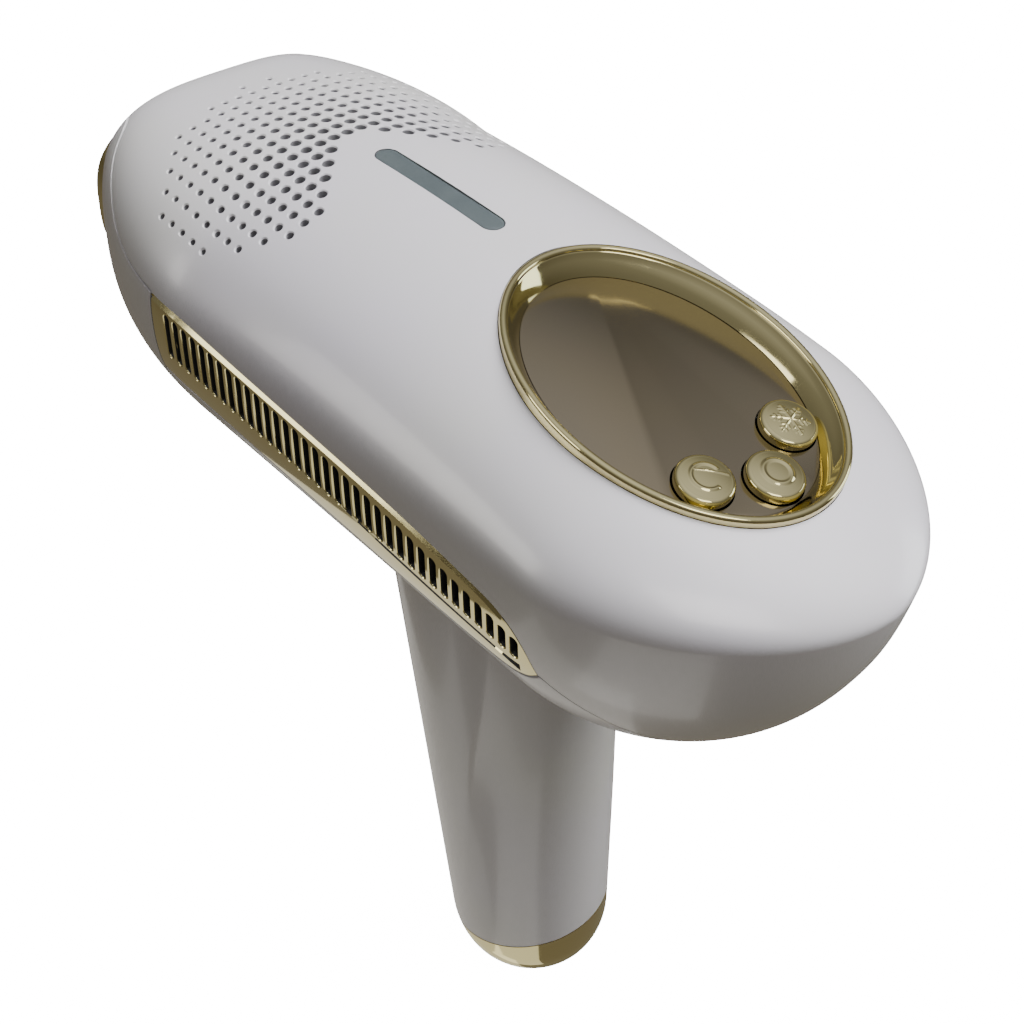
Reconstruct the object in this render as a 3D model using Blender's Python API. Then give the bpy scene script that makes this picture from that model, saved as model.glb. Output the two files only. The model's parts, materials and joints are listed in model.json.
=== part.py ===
"""IPL hair remover: a pill-shaped barrel on a raked handle, built as an assembly of separate parts.

Sizes are in millimetres and MM turns them into metres. +Z is up and the object stands on the flat
foot of its end cap at z = 0. The light window faces -Y, the display faces up at the +Y end, and the
object is symmetric about x = 0. Neighbouring parts keep a gap of about 0.3 mm.
"""
import math

import bmesh
import bpy
from mathutils import Matrix, Vector

MM = 0.001
FIT = 0.3
MERGE = 0.002

# ---- barrel ----
BARREL_REAR = 45.0
BARREL_FRONT = -105.5
BARREL_BOTTOM = 109.0
REAR_HALF_WIDTH = 35.0
FRONT_WIDENING = 1.5
CROWN_TOP = 164.8
CROWN_Y = -31.0
CROWN_RADIUS = 410.0
AXIS_HEIGHT = 144.3
AXIS_SLOPE = 0.0677
AXIS_Y = -19.6
REAR_TAPER = 36.5
FRONT_TAPER = 50.5
FRONT_TAPER_Y = -68.0
REAR_RISE = 50.0
FRONT_RISE = 19.0
FRONT_RISE_Y = -98.5
REAR_DROP = 34.0
WIDENING_REAR_Y = 9.0
WIDENING_LENGTH = 85.0
FRONT_EDGE = 2.1
UPPER_ROUNDNESS = 2.06
LOWER_ROUNDNESS = 2.5
FRONT_UPPER_ROUNDNESS = 3.2
FRONT_LOWER_ROUNDNESS = 2.3
FRONT_ROUNDNESS_Y = -67.0
WALL = 2.2
SECTION_POINTS = 36

# ---- handle ----
HANDLE_TOP = 110.0
HANDLE_RAKE = -24.5 / HANDLE_TOP
FOOT_HALF_WIDTH = 17.4
FOOT_HALF_DEPTH = 16.6
TOP_HALF_WIDTH = 20.0
TOP_HALF_DEPTH = 23.0
FOOT_ROUNDING = 8.0
FOOT_FLAT = 0.72
CAP_SEAM_HEIGHT = 9.4
CAP_SEAM_SLOPE = 0.386
HANDLE_POINTS = 28
SOCKET_Y = -6.3
SOCKET_RADIUS = 3.9
SOCKET_BORE = 2.8
SOCKET_PIN = 0.9
CABLE_HOLE = 5.5
CABLE_HOLE_Y = -26.0
PLATE_TOP = 108.4
PLATE_BOTTOM = 105.0

# ---- display, tilted down towards the rear ----
DISPLAY_CENTRE = (0.0, 2.4, 161.4)
DISPLAY_TILT = 0.124
BEZEL_HALF_LENGTH = 27.9
BEZEL_HALF_WIDTH = 21.6
PANEL_HALF_LENGTH = 24.4
PANEL_HALF_WIDTH = 18.0
PANEL_TOP = -3.4
PANEL_THICKNESS = 1.6
BEZEL_BOTTOM = -6.4
OVAL_POINTS = 40
BUTTON_SPOTS = {"cooling_button": (-9.07, 14.7), "mode_button": (0.0, 19.8), "power_button": (9.07, 14.7)}
BUTTON_RADIUS = 4.3
BUTTON_TOP = -1.5

# ---- side vents ----
VENT_FRONT = -73.2
VENT_TIP = (13.5, 131.5)
VENT_COUNT = 35
VENT_FIRST = -69.0
VENT_PITCH = 2.31
VENT_SLOT_WIDTH = 1.35
SLOT_LOW = 133.9
SLOT_LOW_FALL = 1.7
SLOT_HIGH = 142.6
SLOT_HIGH_FALL = 5.6
SLOT_HIGH_CURVE = 2.2

# ---- light window ----
WINDOW_HEIGHT = 137.6
WINDOW_FACE = -108.4
FRAME_HALF_WIDTH = 25.0
FRAME_HALF_HEIGHT = 15.8
FRAME_REAR = BARREL_FRONT + 8.0
WINDOW_HALF_WIDTH = 19.0
WINDOW_HALF_HEIGHT = 9.5
LAMP_Y = -81.5

# ---- flash trigger, in the front of the handle ----
TRIGGER_HEIGHT = 84.0
TRIGGER_HALF_WIDTH = 6.0
TRIGGER_HALF_LENGTH = 12.0

# ---- screws: each casing screw rises through a boss into a post of the upper shell ----
FRONT_SCREWS = [(-27.0, -84.0), (27.0, -84.0)]
REAR_SCREWS = [(-25.0, 13.0), (25.0, 13.0)]
POST_BOTTOM = 128.0
POST_RADIUS = 3.4
BOSS_RADIUS = 4.2
COUNTERBORE_TOP = 125.4
HANDLE_SCREWS = [-40.0, -12.0]
SHANK = 1.25
SHANK_HOLE = 1.6
HEAD_RADIUS = 2.7
HEAD_HEIGHT = 1.8
COUNTERBORE_RADIUS = 3.0
HANDLE_HEAD_LOW = 111.6

# ---- light bar in the roof ----
BAR_Y = -47.2
BAR_HALF_WIDTH = 1.95
BAR_HALF_LENGTH = 13.9

# ---- cooling fan ----
FAN_Y = -68.0
FAN_BOTTOM = 146.4
FAN_DEPTH = 8.0
FAN_HALF = 20.0
FAN_BORE = 18.6
BLADES = 7

MATERIALS = {
    "pearl_white": ((0.78, 0.76, 0.77), 0.0, 0.28),
    "gold_chrome": ((0.78, 0.70, 0.48), 1.0, 0.12),
    "smoked_glass": ((0.16, 0.14, 0.11), 0.3, 0.08),
    "amber_glass": ((0.75, 0.40, 0.10), 0.0, 0.05),
    "clear_glass": ((0.80, 0.86, 0.90), 0.0, 0.05),
    "light_pipe": ((0.40, 0.46, 0.46), 0.0, 0.25),
    "circuit_board": ((0.03, 0.22, 0.10), 0.0, 0.45),
    "black_plastic": ((0.03, 0.03, 0.03), 0.0, 0.5),
    "aluminium": ((0.75, 0.76, 0.78), 1.0, 0.35),
    "polished_aluminium": ((0.88, 0.88, 0.90), 1.0, 0.08),
    "ceramic_white": ((0.85, 0.84, 0.80), 0.0, 0.6),
    "silicone_grey": ((0.25, 0.25, 0.26), 0.0, 0.8),
    "screw_steel": ((0.55, 0.55, 0.57), 1.0, 0.3),
    "capacitor_sleeve": ((0.05, 0.07, 0.16), 0.0, 0.35),
    "copper_wire": ((0.60, 0.30, 0.15), 1.0, 0.35),
    "cable_red": ((0.35, 0.04, 0.03), 0.0, 0.5),
}


# ---------------------------------------------------------------- helpers

def clear_scene():
    for obj in list(bpy.data.objects):
        bpy.data.objects.remove(obj, do_unlink=True)


def make_materials():
    made = {}
    for name, (colour, metallic, roughness) in MATERIALS.items():
        material = bpy.data.materials.new(name)
        material.use_nodes = True
        shader = material.node_tree.nodes["Principled BSDF"]
        shader.inputs["Base Color"].default_value = (*colour, 1.0)
        shader.inputs["Metallic"].default_value = metallic
        shader.inputs["Roughness"].default_value = roughness
        made[name] = material
    return made


def add_object(name, points, faces, material=None):
    """One closed mesh object from points in millimetres, with its faces turned outward."""
    mesh = bpy.data.meshes.new(name)
    mesh.from_pydata([Vector(point) * MM for point in points], [], faces)
    shell = bmesh.new()
    shell.from_mesh(mesh)
    bmesh.ops.recalc_face_normals(shell, faces=shell.faces)
    shell.to_mesh(mesh)
    shell.free()
    obj = bpy.data.objects.new(name, mesh)
    bpy.context.scene.collection.objects.link(obj)
    if material:
        mesh.materials.append(SHADES[material])
    return obj


def loft(name, rings, material=None, closed=False):
    """Skins rings of equal length; its ends are capped, or joined to each other if closed."""
    count = len(rings[0])
    points = [point for ring in rings for point in ring]
    faces = []
    last = len(rings) if closed else len(rings) - 1
    for i in range(last):
        here = i * count
        after = ((i + 1) % len(rings)) * count
        for j in range(count):
            k = (j + 1) % count
            faces.append((here + j, here + k, after + k, after + j))
    if not closed:
        faces.append(tuple(range(count)))
        faces.append(tuple(range((len(rings) - 1) * count, len(rings) * count)))
    return add_object(name, points, faces, material)


def prism(name, outline, axis, low, high, material=None):
    """Extrudes a flat outline along an axis. The outline's pairs are the other two axes in order."""
    rings = []
    for level in (low, high):
        ring = []
        for pair in outline:
            point = list(pair)
            point.insert("xyz".index(axis), level)
            ring.append(tuple(point))
        rings.append(ring)
    return loft(name, rings, material)


def box(name, low, high, material=None):
    outline = [(low[0], low[1]), (high[0], low[1]), (high[0], high[1]), (low[0], high[1])]
    return prism(name, outline, "z", low[2], high[2], material)


def oval(half_x, half_y, count=OVAL_POINTS, power=2.0, centre=(0.0, 0.0)):
    """A superellipse outline: power 2 is an ellipse and a higher power is squarer."""
    outline = []
    for i in range(count):
        angle = 2 * math.pi * i / count
        c, s = math.cos(angle), math.sin(angle)
        outline.append((centre[0] + half_x * math.copysign(abs(c) ** (2 / power), c),
                        centre[1] + half_y * math.copysign(abs(s) ** (2 / power), s)))
    return outline


def stadium(half_x, half_y, count=32):
    """A rectangle with round ends along its longer side."""
    radius = min(half_x, half_y)
    outline = []
    for i in range(count):
        angle = 2 * math.pi * (i + 0.5) / count
        c, s = math.cos(angle), math.sin(angle)
        outline.append((radius * c + math.copysign(half_x - radius, c),
                        radius * s + math.copysign(half_y - radius, s)))
    return outline


def cylinder(name, radius, axis, centre, low, high, material=None, count=24):
    return prism(name, oval(radius, radius, count, centre=centre), axis, low, high, material)


def stacked(name, profile, centre, material, count=22):
    """A solid of round rings from (radius, height) pairs, closed flat at both ends."""
    rings = [[(x, y, z) for x, y in oval(r, r, count, centre=centre)] for r, z in profile]
    return loft(name, rings, material)


def framed(name, levels, axis, material, power=2.0, count=OVAL_POINTS, centre=(0.0, 0.0)):
    """A closed oval frame: levels are (half_a, half_b, height) around its wall's cross-section."""
    rings = []
    for half_a, half_b, level in levels:
        ring = []
        for pair in oval(half_a, half_b, count, power, centre):
            point = list(pair)
            point.insert("xyz".index(axis), level)
            ring.append(tuple(point))
        rings.append(ring)
    return loft(name, rings, material, closed=True)


def tube(name, path, radius, material, count=10):
    """A round cable along a path in the plane x = 0."""
    spots = [Vector(point) for point in path]
    rings = []
    for i, spot in enumerate(spots):
        along = (spots[min(i + 1, len(spots) - 1)] - spots[max(i - 1, 0)]).normalized()
        side = Vector((1.0, 0.0, 0.0))
        up = side.cross(along)
        rings.append([tuple(spot + radius * (math.cos(a) * side + math.sin(a) * up))
                      for a in (2 * math.pi * j / count for j in range(count))])
    return loft(name, rings, material)


def place(obj, location, turn_x=0.0):
    obj.location = Vector(location) * MM
    obj.rotation_euler = (turn_x, 0.0, 0.0)
    return obj


def combine(obj, others, operation):
    """Applies one Boolean for each tool object, and removes the tools."""
    for other in others:
        bpy.context.view_layer.update()
        step = obj.modifiers.new(operation, "BOOLEAN")
        step.operation = operation
        step.solver = "EXACT"
        step.object = other
        graph = bpy.context.evaluated_depsgraph_get()
        result = bpy.data.meshes.new_from_object(obj.evaluated_get(graph))
        obj.modifiers.clear()
        old = obj.data
        obj.data = result
        bpy.data.meshes.remove(old)
        bpy.data.objects.remove(other, do_unlink=True)
    return obj


def cut(obj, *tools):
    return combine(obj, tools, "DIFFERENCE")


def keep(obj, *tools):
    return combine(obj, tools, "INTERSECT")


def join(obj, *tools):
    return combine(obj, tools, "UNION")


def finish(obj, material=None):
    """Gives a cut part its material, name and smooth shading with sharp edges kept."""
    if material:
        obj.data.materials.clear()
        obj.data.materials.append(SHADES[material])
        for face in obj.data.polygons:
            face.material_index = 0
    shell = bmesh.new()
    shell.from_mesh(obj.data)
    bmesh.ops.remove_doubles(shell, verts=shell.verts, dist=MERGE * MM)
    bmesh.ops.dissolve_degenerate(shell, edges=shell.edges, dist=MERGE * MM)
    shell.to_mesh(obj.data)
    shell.free()
    obj.data.name = obj.name
    obj.data.shade_smooth()
    obj.data.set_sharp_from_angle(angle=math.radians(32))
    return obj


# ---------------------------------------------------------------- barrel surface

def rounded(distance, length, power):
    """1 before a rounded end starts, falling to 0 at its tip."""
    u = min(max(distance / length, 0.0), 1.0)
    return (1.0 - u ** power) ** (1.0 / power)


def barrel_section(y, inset=0.0):
    """Half width, centre height, top height and bottom height of the barrel at y."""
    rear = BARREL_REAR
    widening = min(max((WIDENING_REAR_Y - y) / WIDENING_LENGTH, 0.0), 1.0)
    half_width = REAR_HALF_WIDTH + FRONT_WIDENING * widening
    half_width *= rounded(y - (rear - REAR_TAPER), REAR_TAPER, 1.75)
    half_width *= rounded(FRONT_TAPER_Y - y, FRONT_TAPER, 2.0)
    centre = AXIS_HEIGHT + AXIS_SLOPE * (y - AXIS_Y)
    crown = CROWN_TOP - (y - CROWN_Y) ** 2 / (2 * CROWN_RADIUS)
    rise = (crown - centre) * rounded(y - (rear - REAR_RISE), REAR_RISE, 2.0)
    rise *= rounded(FRONT_RISE_Y - y, FRONT_RISE, 2.5)
    drop = (centre - BARREL_BOTTOM) * rounded(y - (rear - REAR_DROP), REAR_DROP, 2.3)
    return (max(half_width - inset, 0.2), centre, centre + max(rise - inset, 0.2),
            centre - max(drop - inset, 0.2))


def barrel_ring(y, inset=0.0, at=None):
    half_width, centre, top, bottom = barrel_section(y, inset)
    share = min(max((FRONT_ROUNDNESS_Y - y) / (FRONT_ROUNDNESS_Y - BARREL_FRONT), 0.0), 1.0)
    upper = UPPER_ROUNDNESS + (FRONT_UPPER_ROUNDNESS - UPPER_ROUNDNESS) * share
    lower = LOWER_ROUNDNESS + (FRONT_LOWER_ROUNDNESS - LOWER_ROUNDNESS) * share
    ring = []
    for i in range(SECTION_POINTS):
        angle = 2 * math.pi * i / SECTION_POINTS
        c, s = math.cos(angle), math.sin(angle)
        power = upper if s >= 0 else lower
        height = top - centre if s >= 0 else centre - bottom
        ring.append((half_width * math.copysign(abs(c) ** (2 / power), c), y if at is None else at,
                     centre + height * math.copysign(abs(s) ** (2 / power), s)))
    return ring


def barrel_solid(name, inset=0.0, front=BARREL_FRONT, rings=24):
    """The whole barrel as one solid; a positive inset makes the cavity inside a wall."""
    tip = BARREL_REAR - inset
    edge = FRONT_EDGE
    sections = [barrel_ring(front + 0.35 * edge, inset + edge, at=front),
                barrel_ring(front + 0.6 * edge, inset + 0.35 * edge, at=front + 0.35 * edge),
                barrel_ring(front + edge, inset)]
    for i in range(1, rings):
        # even steps along the straight part, closing up towards the rounded tip
        u = math.sin(0.5 * math.pi * i / rings)
        sections.append(barrel_ring_to(front + edge + (tip - 0.25 - front - edge) * u, inset))
    return loft(name, sections)


def barrel_ring_to(y, inset):
    """A ring whose section is measured on the outer surface, so that the cavity follows the wall."""
    share = (y - WIDENING_REAR_Y) / (BARREL_REAR - inset - WIDENING_REAR_Y)
    reach = y + inset * min(max(share, 0.0), 1.0)
    return barrel_ring(min(reach, BARREL_REAR - 0.02), inset, at=y)


# ---------------------------------------------------------------- handle surface

def handle_ring(z, inset=0.0, at=None):
    share = z / HANDLE_TOP
    squeeze = 1.0
    if z < FOOT_ROUNDING:
        squeeze = FOOT_FLAT + (1 - FOOT_FLAT) * math.sqrt(1 - (1 - z / FOOT_ROUNDING) ** 2)
    half_x = (FOOT_HALF_WIDTH + (TOP_HALF_WIDTH - FOOT_HALF_WIDTH) * share) * squeeze - inset
    half_y = (FOOT_HALF_DEPTH + (TOP_HALF_DEPTH - FOOT_HALF_DEPTH) * share) * squeeze - inset
    centre = HANDLE_RAKE * z
    return [(x, y, z if at is None else at)
            for x, y in oval(half_x, half_y, HANDLE_POINTS, centre=(0.0, centre))]


def handle_solid(name, inset=0.0, low=0.0, high=138.0):
    heights = [low]
    for z in (0.7, 2.0, 4.0, FOOT_ROUNDING):
        if z > low + 0.3:
            heights.append(z)
    z = max(low, FOOT_ROUNDING)
    steps = 6
    heights += [z + (high - z) * (i + 1) / steps for i in range(steps)]
    return loft(name, [handle_ring(z, inset) for z in heights])


def seam_wedge(name, offset, above):
    """Everything above, or below, the slanted seam of the end cap."""
    def seam(y):
        return CAP_SEAM_HEIGHT + CAP_SEAM_SLOPE * y + offset
    far = 200.0 if above else -60.0
    return prism(name, [(-90.0, seam(-90.0)), (60.0, seam(60.0)), (60.0, far), (-90.0, far)],
                 "x", -60.0, 60.0)


# ---------------------------------------------------------------- casings

# The parting line seen from the side, from the front end to the rear end, as (y, z).
LIP_LINE = [(-113.0, 155.5), (-104.0, 155.3), (-101.0, 154.8), (-97.9, 152.6), (-93.2, 150.1),
            (-87.8, 147.3), (-84.5, 146.1), (-80.0, 145.1), (VENT_FRONT, 144.5)]
BELLY_LINE = [(VENT_FRONT, 129.5), (-30.0, 127.0), (-8.0, 126.1), (5.0, 127.1), (11.0, 129.5),
              (14.5, 131.2), (21.0, 127.0), (30.0, 121.5), (60.0, 110.0)]
VENT_TOP = [(VENT_FRONT, 143.9), (-24.0, 143.0), (0.0, 141.2), (7.3, 139.6), (11.0, 136.5)]
VENT_BOTTOM = [(11.0, 129.0), (5.0, 126.6), (-8.0, 125.6), (-30.0, 126.5), (VENT_FRONT, 129.0)]


def grown(outline, amount):
    """Moves each point of an outline away from its middle, for a clearance all round."""
    mid_y = sum(point[0] for point in outline) / len(outline)
    result = []
    for y, z in outline:
        result.append((y + math.copysign(amount, y - mid_y), z))
    return result


def vent_outline(clearance=0.0):
    top = [(y, z + clearance) for y, z in VENT_TOP]
    bottom = [(y, z - clearance) for y, z in VENT_BOTTOM]
    tip = [(VENT_TIP[0] + clearance, VENT_TIP[1])]
    return grown([*top, *tip, *bottom], clearance)


def vent_cutters():
    """Room for both side trims, with the clearance around them."""
    return [prism("vent_room", vent_outline(FIT), "x", 18.0, 60.0),
            prism("vent_room", vent_outline(FIT), "x", -60.0, -18.0)]


def barrel_wall(name):
    """The barrel's wall with the window and display openings cut."""
    wall = barrel_solid(name)
    cavity = barrel_solid("cavity", WALL, BARREL_FRONT + 2.6)
    window = prism("window_hole", oval(21.8, 13.3, 40, 3.0, centre=(0.0, WINDOW_HEIGHT)),
                   "y", BARREL_FRONT - 5, BARREL_FRONT + 8)
    return cut(wall, cavity, window)


def screw_post(name, x, y):
    post = cylinder(name, POST_RADIUS, "z", (x, y), POST_BOTTOM, 170.0, count=16)
    return keep(post, barrel_solid("trimmer", 0.5 * WALL, BARREL_FRONT + 1.0))


def screw_boss(name, x, y):
    boss = cylinder(name, BOSS_RADIUS, "z", (x, y), 105.0, POST_BOTTOM - 0.4, count=16)
    return keep(boss, barrel_solid("trimmer", 0.5 * WALL, BARREL_FRONT + 1.0))


def drill_case_screw(shell, x, y):
    cut(shell, cylinder("counterbore", COUNTERBORE_RADIUS, "z", (x, y), 100.0, COUNTERBORE_TOP, count=16),
        cylinder("shank_hole", SHANK_HOLE, "z", (x, y), 100.0, POST_BOTTOM + 1.0, count=12))


def upper_shell():
    shell = barrel_wall("upper_shell")
    outline = [*LIP_LINE, *BELLY_LINE, (60.0, 190.0), (-113.0, 190.0)]
    keep(shell, prism("above", outline, "x", -60.0, 60.0))
    cut(shell, *vent_cutters())
    opening = prism("display_hole", oval(BEZEL_HALF_WIDTH + FIT, BEZEL_HALF_LENGTH + FIT), "z", -9.0, 9.0)
    cut(shell, place(opening, DISPLAY_CENTRE, -DISPLAY_TILT),
        prism("bar_hole", bar_outline(FIT), "z", 155.0, 175.0))
    for x, y in FRONT_SCREWS + REAR_SCREWS:
        join(shell, screw_post("post", x, y))
        pilot = cylinder("pilot", SHANK_HOLE, "z", (x, y), POST_BOTTOM - 1.0, POST_BOTTOM + 11.0, count=12)
        cut(shell, pilot)
    return finish(shell, "pearl_white")


def bar_outline(clearance=0.0):
    outline = stadium(BAR_HALF_WIDTH + clearance, BAR_HALF_LENGTH + clearance)
    return [(x, y + BAR_Y) for x, y in outline]


def lower_shell():
    shell = barrel_wall("lower_shell")
    belly = [(y, z - FIT) for y, z in BELLY_LINE]
    keep(shell, prism("below", [*belly, (60.0, 90.0), (VENT_FRONT, 90.0)], "x", -60.0, 60.0))
    cut(shell, cylinder("cable_hole", CABLE_HOLE, "z", (0.0, CABLE_HOLE_Y), 100.0, 118.0), *vent_cutters())
    for y in HANDLE_SCREWS:
        cut(shell, cylinder("screw_hole", SHANK_HOLE, "z", (0.0, y), 100.0, 118.0, count=16))
    for x, y in REAR_SCREWS:
        join(shell, screw_boss("boss", x, y))
        drill_case_screw(shell, x, y)
    return finish(shell, "pearl_white")


def front_cover():
    cover = barrel_wall("front_cover")
    lip = [(y, z - FIT) for y, z in reversed(LIP_LINE)]
    rear = VENT_FRONT - FIT
    outline = [(rear, 90.0), (rear, lip[0][1]), *lip[1:], (-113.0, 90.0)]
    keep(cover, prism("region", outline, "x", -60.0, 60.0))
    for x, y in FRONT_SCREWS:
        join(cover, screw_boss("boss", x, y))
        drill_case_screw(cover, x, y)
    return finish(cover, "pearl_white")


def vent_trim(name, side):
    """One slotted gold strip in the side of the barrel; side is +1 or -1."""
    trim = barrel_wall(name)
    reach = sorted((side * 20.0, side * 60.0))
    keep(trim, prism("strip", vent_outline(), "x", *reach))
    slots = []
    for i in range(VENT_COUNT):
        y = VENT_FIRST + VENT_PITCH * i
        share = i / (VENT_COUNT - 1)
        low = SLOT_LOW - SLOT_LOW_FALL * share
        high = SLOT_HIGH - SLOT_HIGH_FALL * share ** SLOT_HIGH_CURVE
        half = 0.5 * VENT_SLOT_WIDTH
        slots.append([(y - half, low), (y + half, low), (y + half, high), (y - half, high)])
    points, faces = [], []
    for outline in slots:
        start = len(points)
        for x in reach:
            points += [(x, y, z) for y, z in outline]
        for j in range(4):
            k = (j + 1) % 4
            faces.append((start + j, start + k, start + 4 + k, start + 4 + j))
        faces += [tuple(range(start, start + 4)), tuple(range(start + 4, start + 8))]
    cut(trim, add_object("slots", points, faces))
    return finish(trim, "gold_chrome")


# ---------------------------------------------------------------- display

def on_display(obj):
    return place(obj, DISPLAY_CENTRE, -DISPLAY_TILT)


def display_bezel():
    rim = [(0.0, BEZEL_BOTTOM), (0.0, -0.7), (-0.5, 0.0), (-1.3, 0.0)]
    levels = [(BEZEL_HALF_WIDTH + d, BEZEL_HALF_LENGTH + d, z) for d, z in rim]
    levels += [(PANEL_HALF_WIDTH + 0.2, PANEL_HALF_LENGTH + 0.2, PANEL_TOP),
               (PANEL_HALF_WIDTH + 0.2, PANEL_HALF_LENGTH + 0.2, BEZEL_BOTTOM)]
    return finish(on_display(framed("display_bezel", levels, "z", "gold_chrome")))


def display_panel():
    inset = PANEL_HALF_WIDTH - FIT, PANEL_HALF_LENGTH - FIT
    panel = prism("display_panel", oval(*inset), "z", PANEL_TOP - PANEL_THICKNESS, PANEL_TOP)
    for spot in BUTTON_SPOTS.values():
        cut(panel, cylinder("button_hole", BUTTON_RADIUS + FIT, "z", spot, -10.0, 5.0))
    return finish(on_display(panel), "smoked_glass")


def display_module():
    module = box("display_module", (-11.0, -17.0, -9.5), (11.0, 8.0, -5.6), "black_plastic")
    return finish(on_display(module))


def key_board():
    board = prism("key_board", oval(16.4, 22.6, 40), "z", -13.2, -12.0, "circuit_board")
    return finish(on_display(board))


def key_switch(name, spot):
    profile = [(2.6, -11.7), (2.6, -8.9), (1.6, -8.7), (1.6, -7.9)]
    return finish(on_display(stacked(name, profile, spot, "black_plastic", 16)))


def panel_button(name, spot):
    r = BUTTON_RADIUS
    stem = 0.34 * r
    profile = [(stem, -6.6), (stem, -5.4), (r, -5.2), (r, BUTTON_TOP - 0.7),
               (0.93 * r, BUTTON_TOP - 0.25), (0.74 * r, BUTTON_TOP), (0.4 * r, BUTTON_TOP + 0.08)]
    button = stacked(name, profile, (0.0, 0.0), "gold_chrome")
    rest = Matrix.Translation(Vector(DISPLAY_CENTRE)) @ Matrix.Rotation(-DISPLAY_TILT, 4, "X")
    return finish(place(button, rest @ Vector((*spot, 0.0)), -DISPLAY_TILT))


def indicator_bar():
    bar = barrel_wall("indicator_bar")
    keep(bar, prism("bar", bar_outline(), "z", 155.0, 175.0))
    return finish(bar, "light_pipe")


def indicator_board():
    low, high = (-3.4, BAR_Y - 14.5, 160.0), (3.4, BAR_Y + 14.5, 161.0)
    return finish(box("indicator_board", low, high, "circuit_board"))


# ---------------------------------------------------------------- light window

def window_frame():
    levels = [(FRAME_HALF_WIDTH - 1.2, FRAME_HALF_HEIGHT - 1.2, WINDOW_FACE),
              (FRAME_HALF_WIDTH, FRAME_HALF_HEIGHT, WINDOW_FACE + 1.2),
              (FRAME_HALF_WIDTH, FRAME_HALF_HEIGHT, BARREL_FRONT - FIT),
              (21.3, 12.8, BARREL_FRONT - FIT),
              (21.3, 12.8, FRAME_REAR),
              (WINDOW_HALF_WIDTH + FIT, WINDOW_HALF_HEIGHT + FIT, FRAME_REAR),
              (WINDOW_HALF_WIDTH + FIT, WINDOW_HALF_HEIGHT + FIT, WINDOW_FACE + 0.8),
              (WINDOW_HALF_WIDTH + 1.0, WINDOW_HALF_HEIGHT + 1.0, WINDOW_FACE)]
    return finish(framed("window_frame", levels, "y", "gold_chrome", 3.0, 36, (0.0, WINDOW_HEIGHT)))


def window_glass():
    outline = oval(WINDOW_HALF_WIDTH, WINDOW_HALF_HEIGHT, 40, 3.0, (0.0, WINDOW_HEIGHT))
    return finish(prism("window_glass", outline, "y", WINDOW_FACE + 0.9, WINDOW_FACE + 3.4, "clear_glass"))


def window_gasket():
    front, rear = FRAME_REAR + FIT, -95.1
    levels = [(21.0, 12.3, front), (21.0, 12.3, rear), (18.0, 8.6, rear), (18.0, 8.6, front)]
    return finish(framed("window_gasket", levels, "y", "silicone_grey", 3.0, 32, (0.0, WINDOW_HEIGHT)))


def cold_plate():
    plate = box("cold_plate", (-24.0, -94.8, 122.0), (24.0, -92.8, 148.0))
    cut(plate, prism("light_path", oval(17.0, 7.6, 32, 4.0, (0.0, WINDOW_HEIGHT)), "y", -100.0, -90.0))
    join(plate, box("arm", (-14.0, -93.5, 122.0), (14.0, -48.0, 124.0)))
    return finish(plate, "aluminium")


def filter_glass():
    outline = oval(16.4, 7.0, 32, 4.0, (0.0, WINDOW_HEIGHT))
    return finish(prism("filter_glass", outline, "y", -92.4, -90.6, "amber_glass"))


def reflector():
    """A trough behind the filter, open towards the window and at both ends."""
    outer, inner = [], []
    for i in range(11):
        angle = math.pi * (i / 10 - 0.5)
        outer.append((LAMP_Y + 5.4 * math.cos(angle), WINDOW_HEIGHT + 7.2 * math.sin(angle)))
        inner.append((LAMP_Y + 4.5 * math.cos(angle), WINDOW_HEIGHT + 6.3 * math.sin(angle)))
    outline = [(-90.0, WINDOW_HEIGHT - 7.2), *outer, (-90.0, WINDOW_HEIGHT + 7.2),
               (-90.0, WINDOW_HEIGHT + 6.3), *reversed(inner), (-90.0, WINDOW_HEIGHT - 6.3)]
    return finish(prism("reflector", outline, "x", -17.0, 17.0, "polished_aluminium"))


def flash_lamp():
    return finish(cylinder("flash_lamp", 2.2, "x", (LAMP_Y, WINDOW_HEIGHT), -23.0, 23.0, "clear_glass", 16))


def lamp_holder(name, side):
    low, high = sorted((side * 17.5, side * 22.0))
    holder = box(name, (low, -87.0, 132.0), (high, -75.5, 145.0))
    cut(holder, cylinder("bore", 2.6, "x", (LAMP_Y, WINDOW_HEIGHT), -30.0, 30.0, count=16))
    return finish(holder, "ceramic_white")


# ---------------------------------------------------------------- cooling

def peltier_module():
    return finish(box("peltier_module", (-10.0, -70.0, 124.3), (10.0, -50.0, 127.5), "ceramic_white"))


def heat_sink():
    """A base with fins along the barrel, made from one comb-shaped outline."""
    fins, half_width, base, top, low = 9, 19.0, 130.8, 145.6, 127.8
    pitch = 2 * half_width / (fins - 0.5)
    comb = [(half_width, low), (-half_width, low)]
    for i in range(fins):
        x = -half_width + i * pitch
        comb += [(x, top), (x + 0.5 * pitch, top)]
        if i < fins - 1:
            comb += [(x + 0.5 * pitch, base), (x + pitch, base)]
    points = [(x, y, z) for y in (-73.5, -40.0) for x, z in comb]
    count = len(comb)
    faces = [tuple(range(count)), tuple(range(count, 2 * count))]
    for j in range(count):
        k = (j + 1) % count
        faces.append((j, k, count + k, count + j))
    return finish(add_object("heat_sink", points, faces, "aluminium"))


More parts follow.
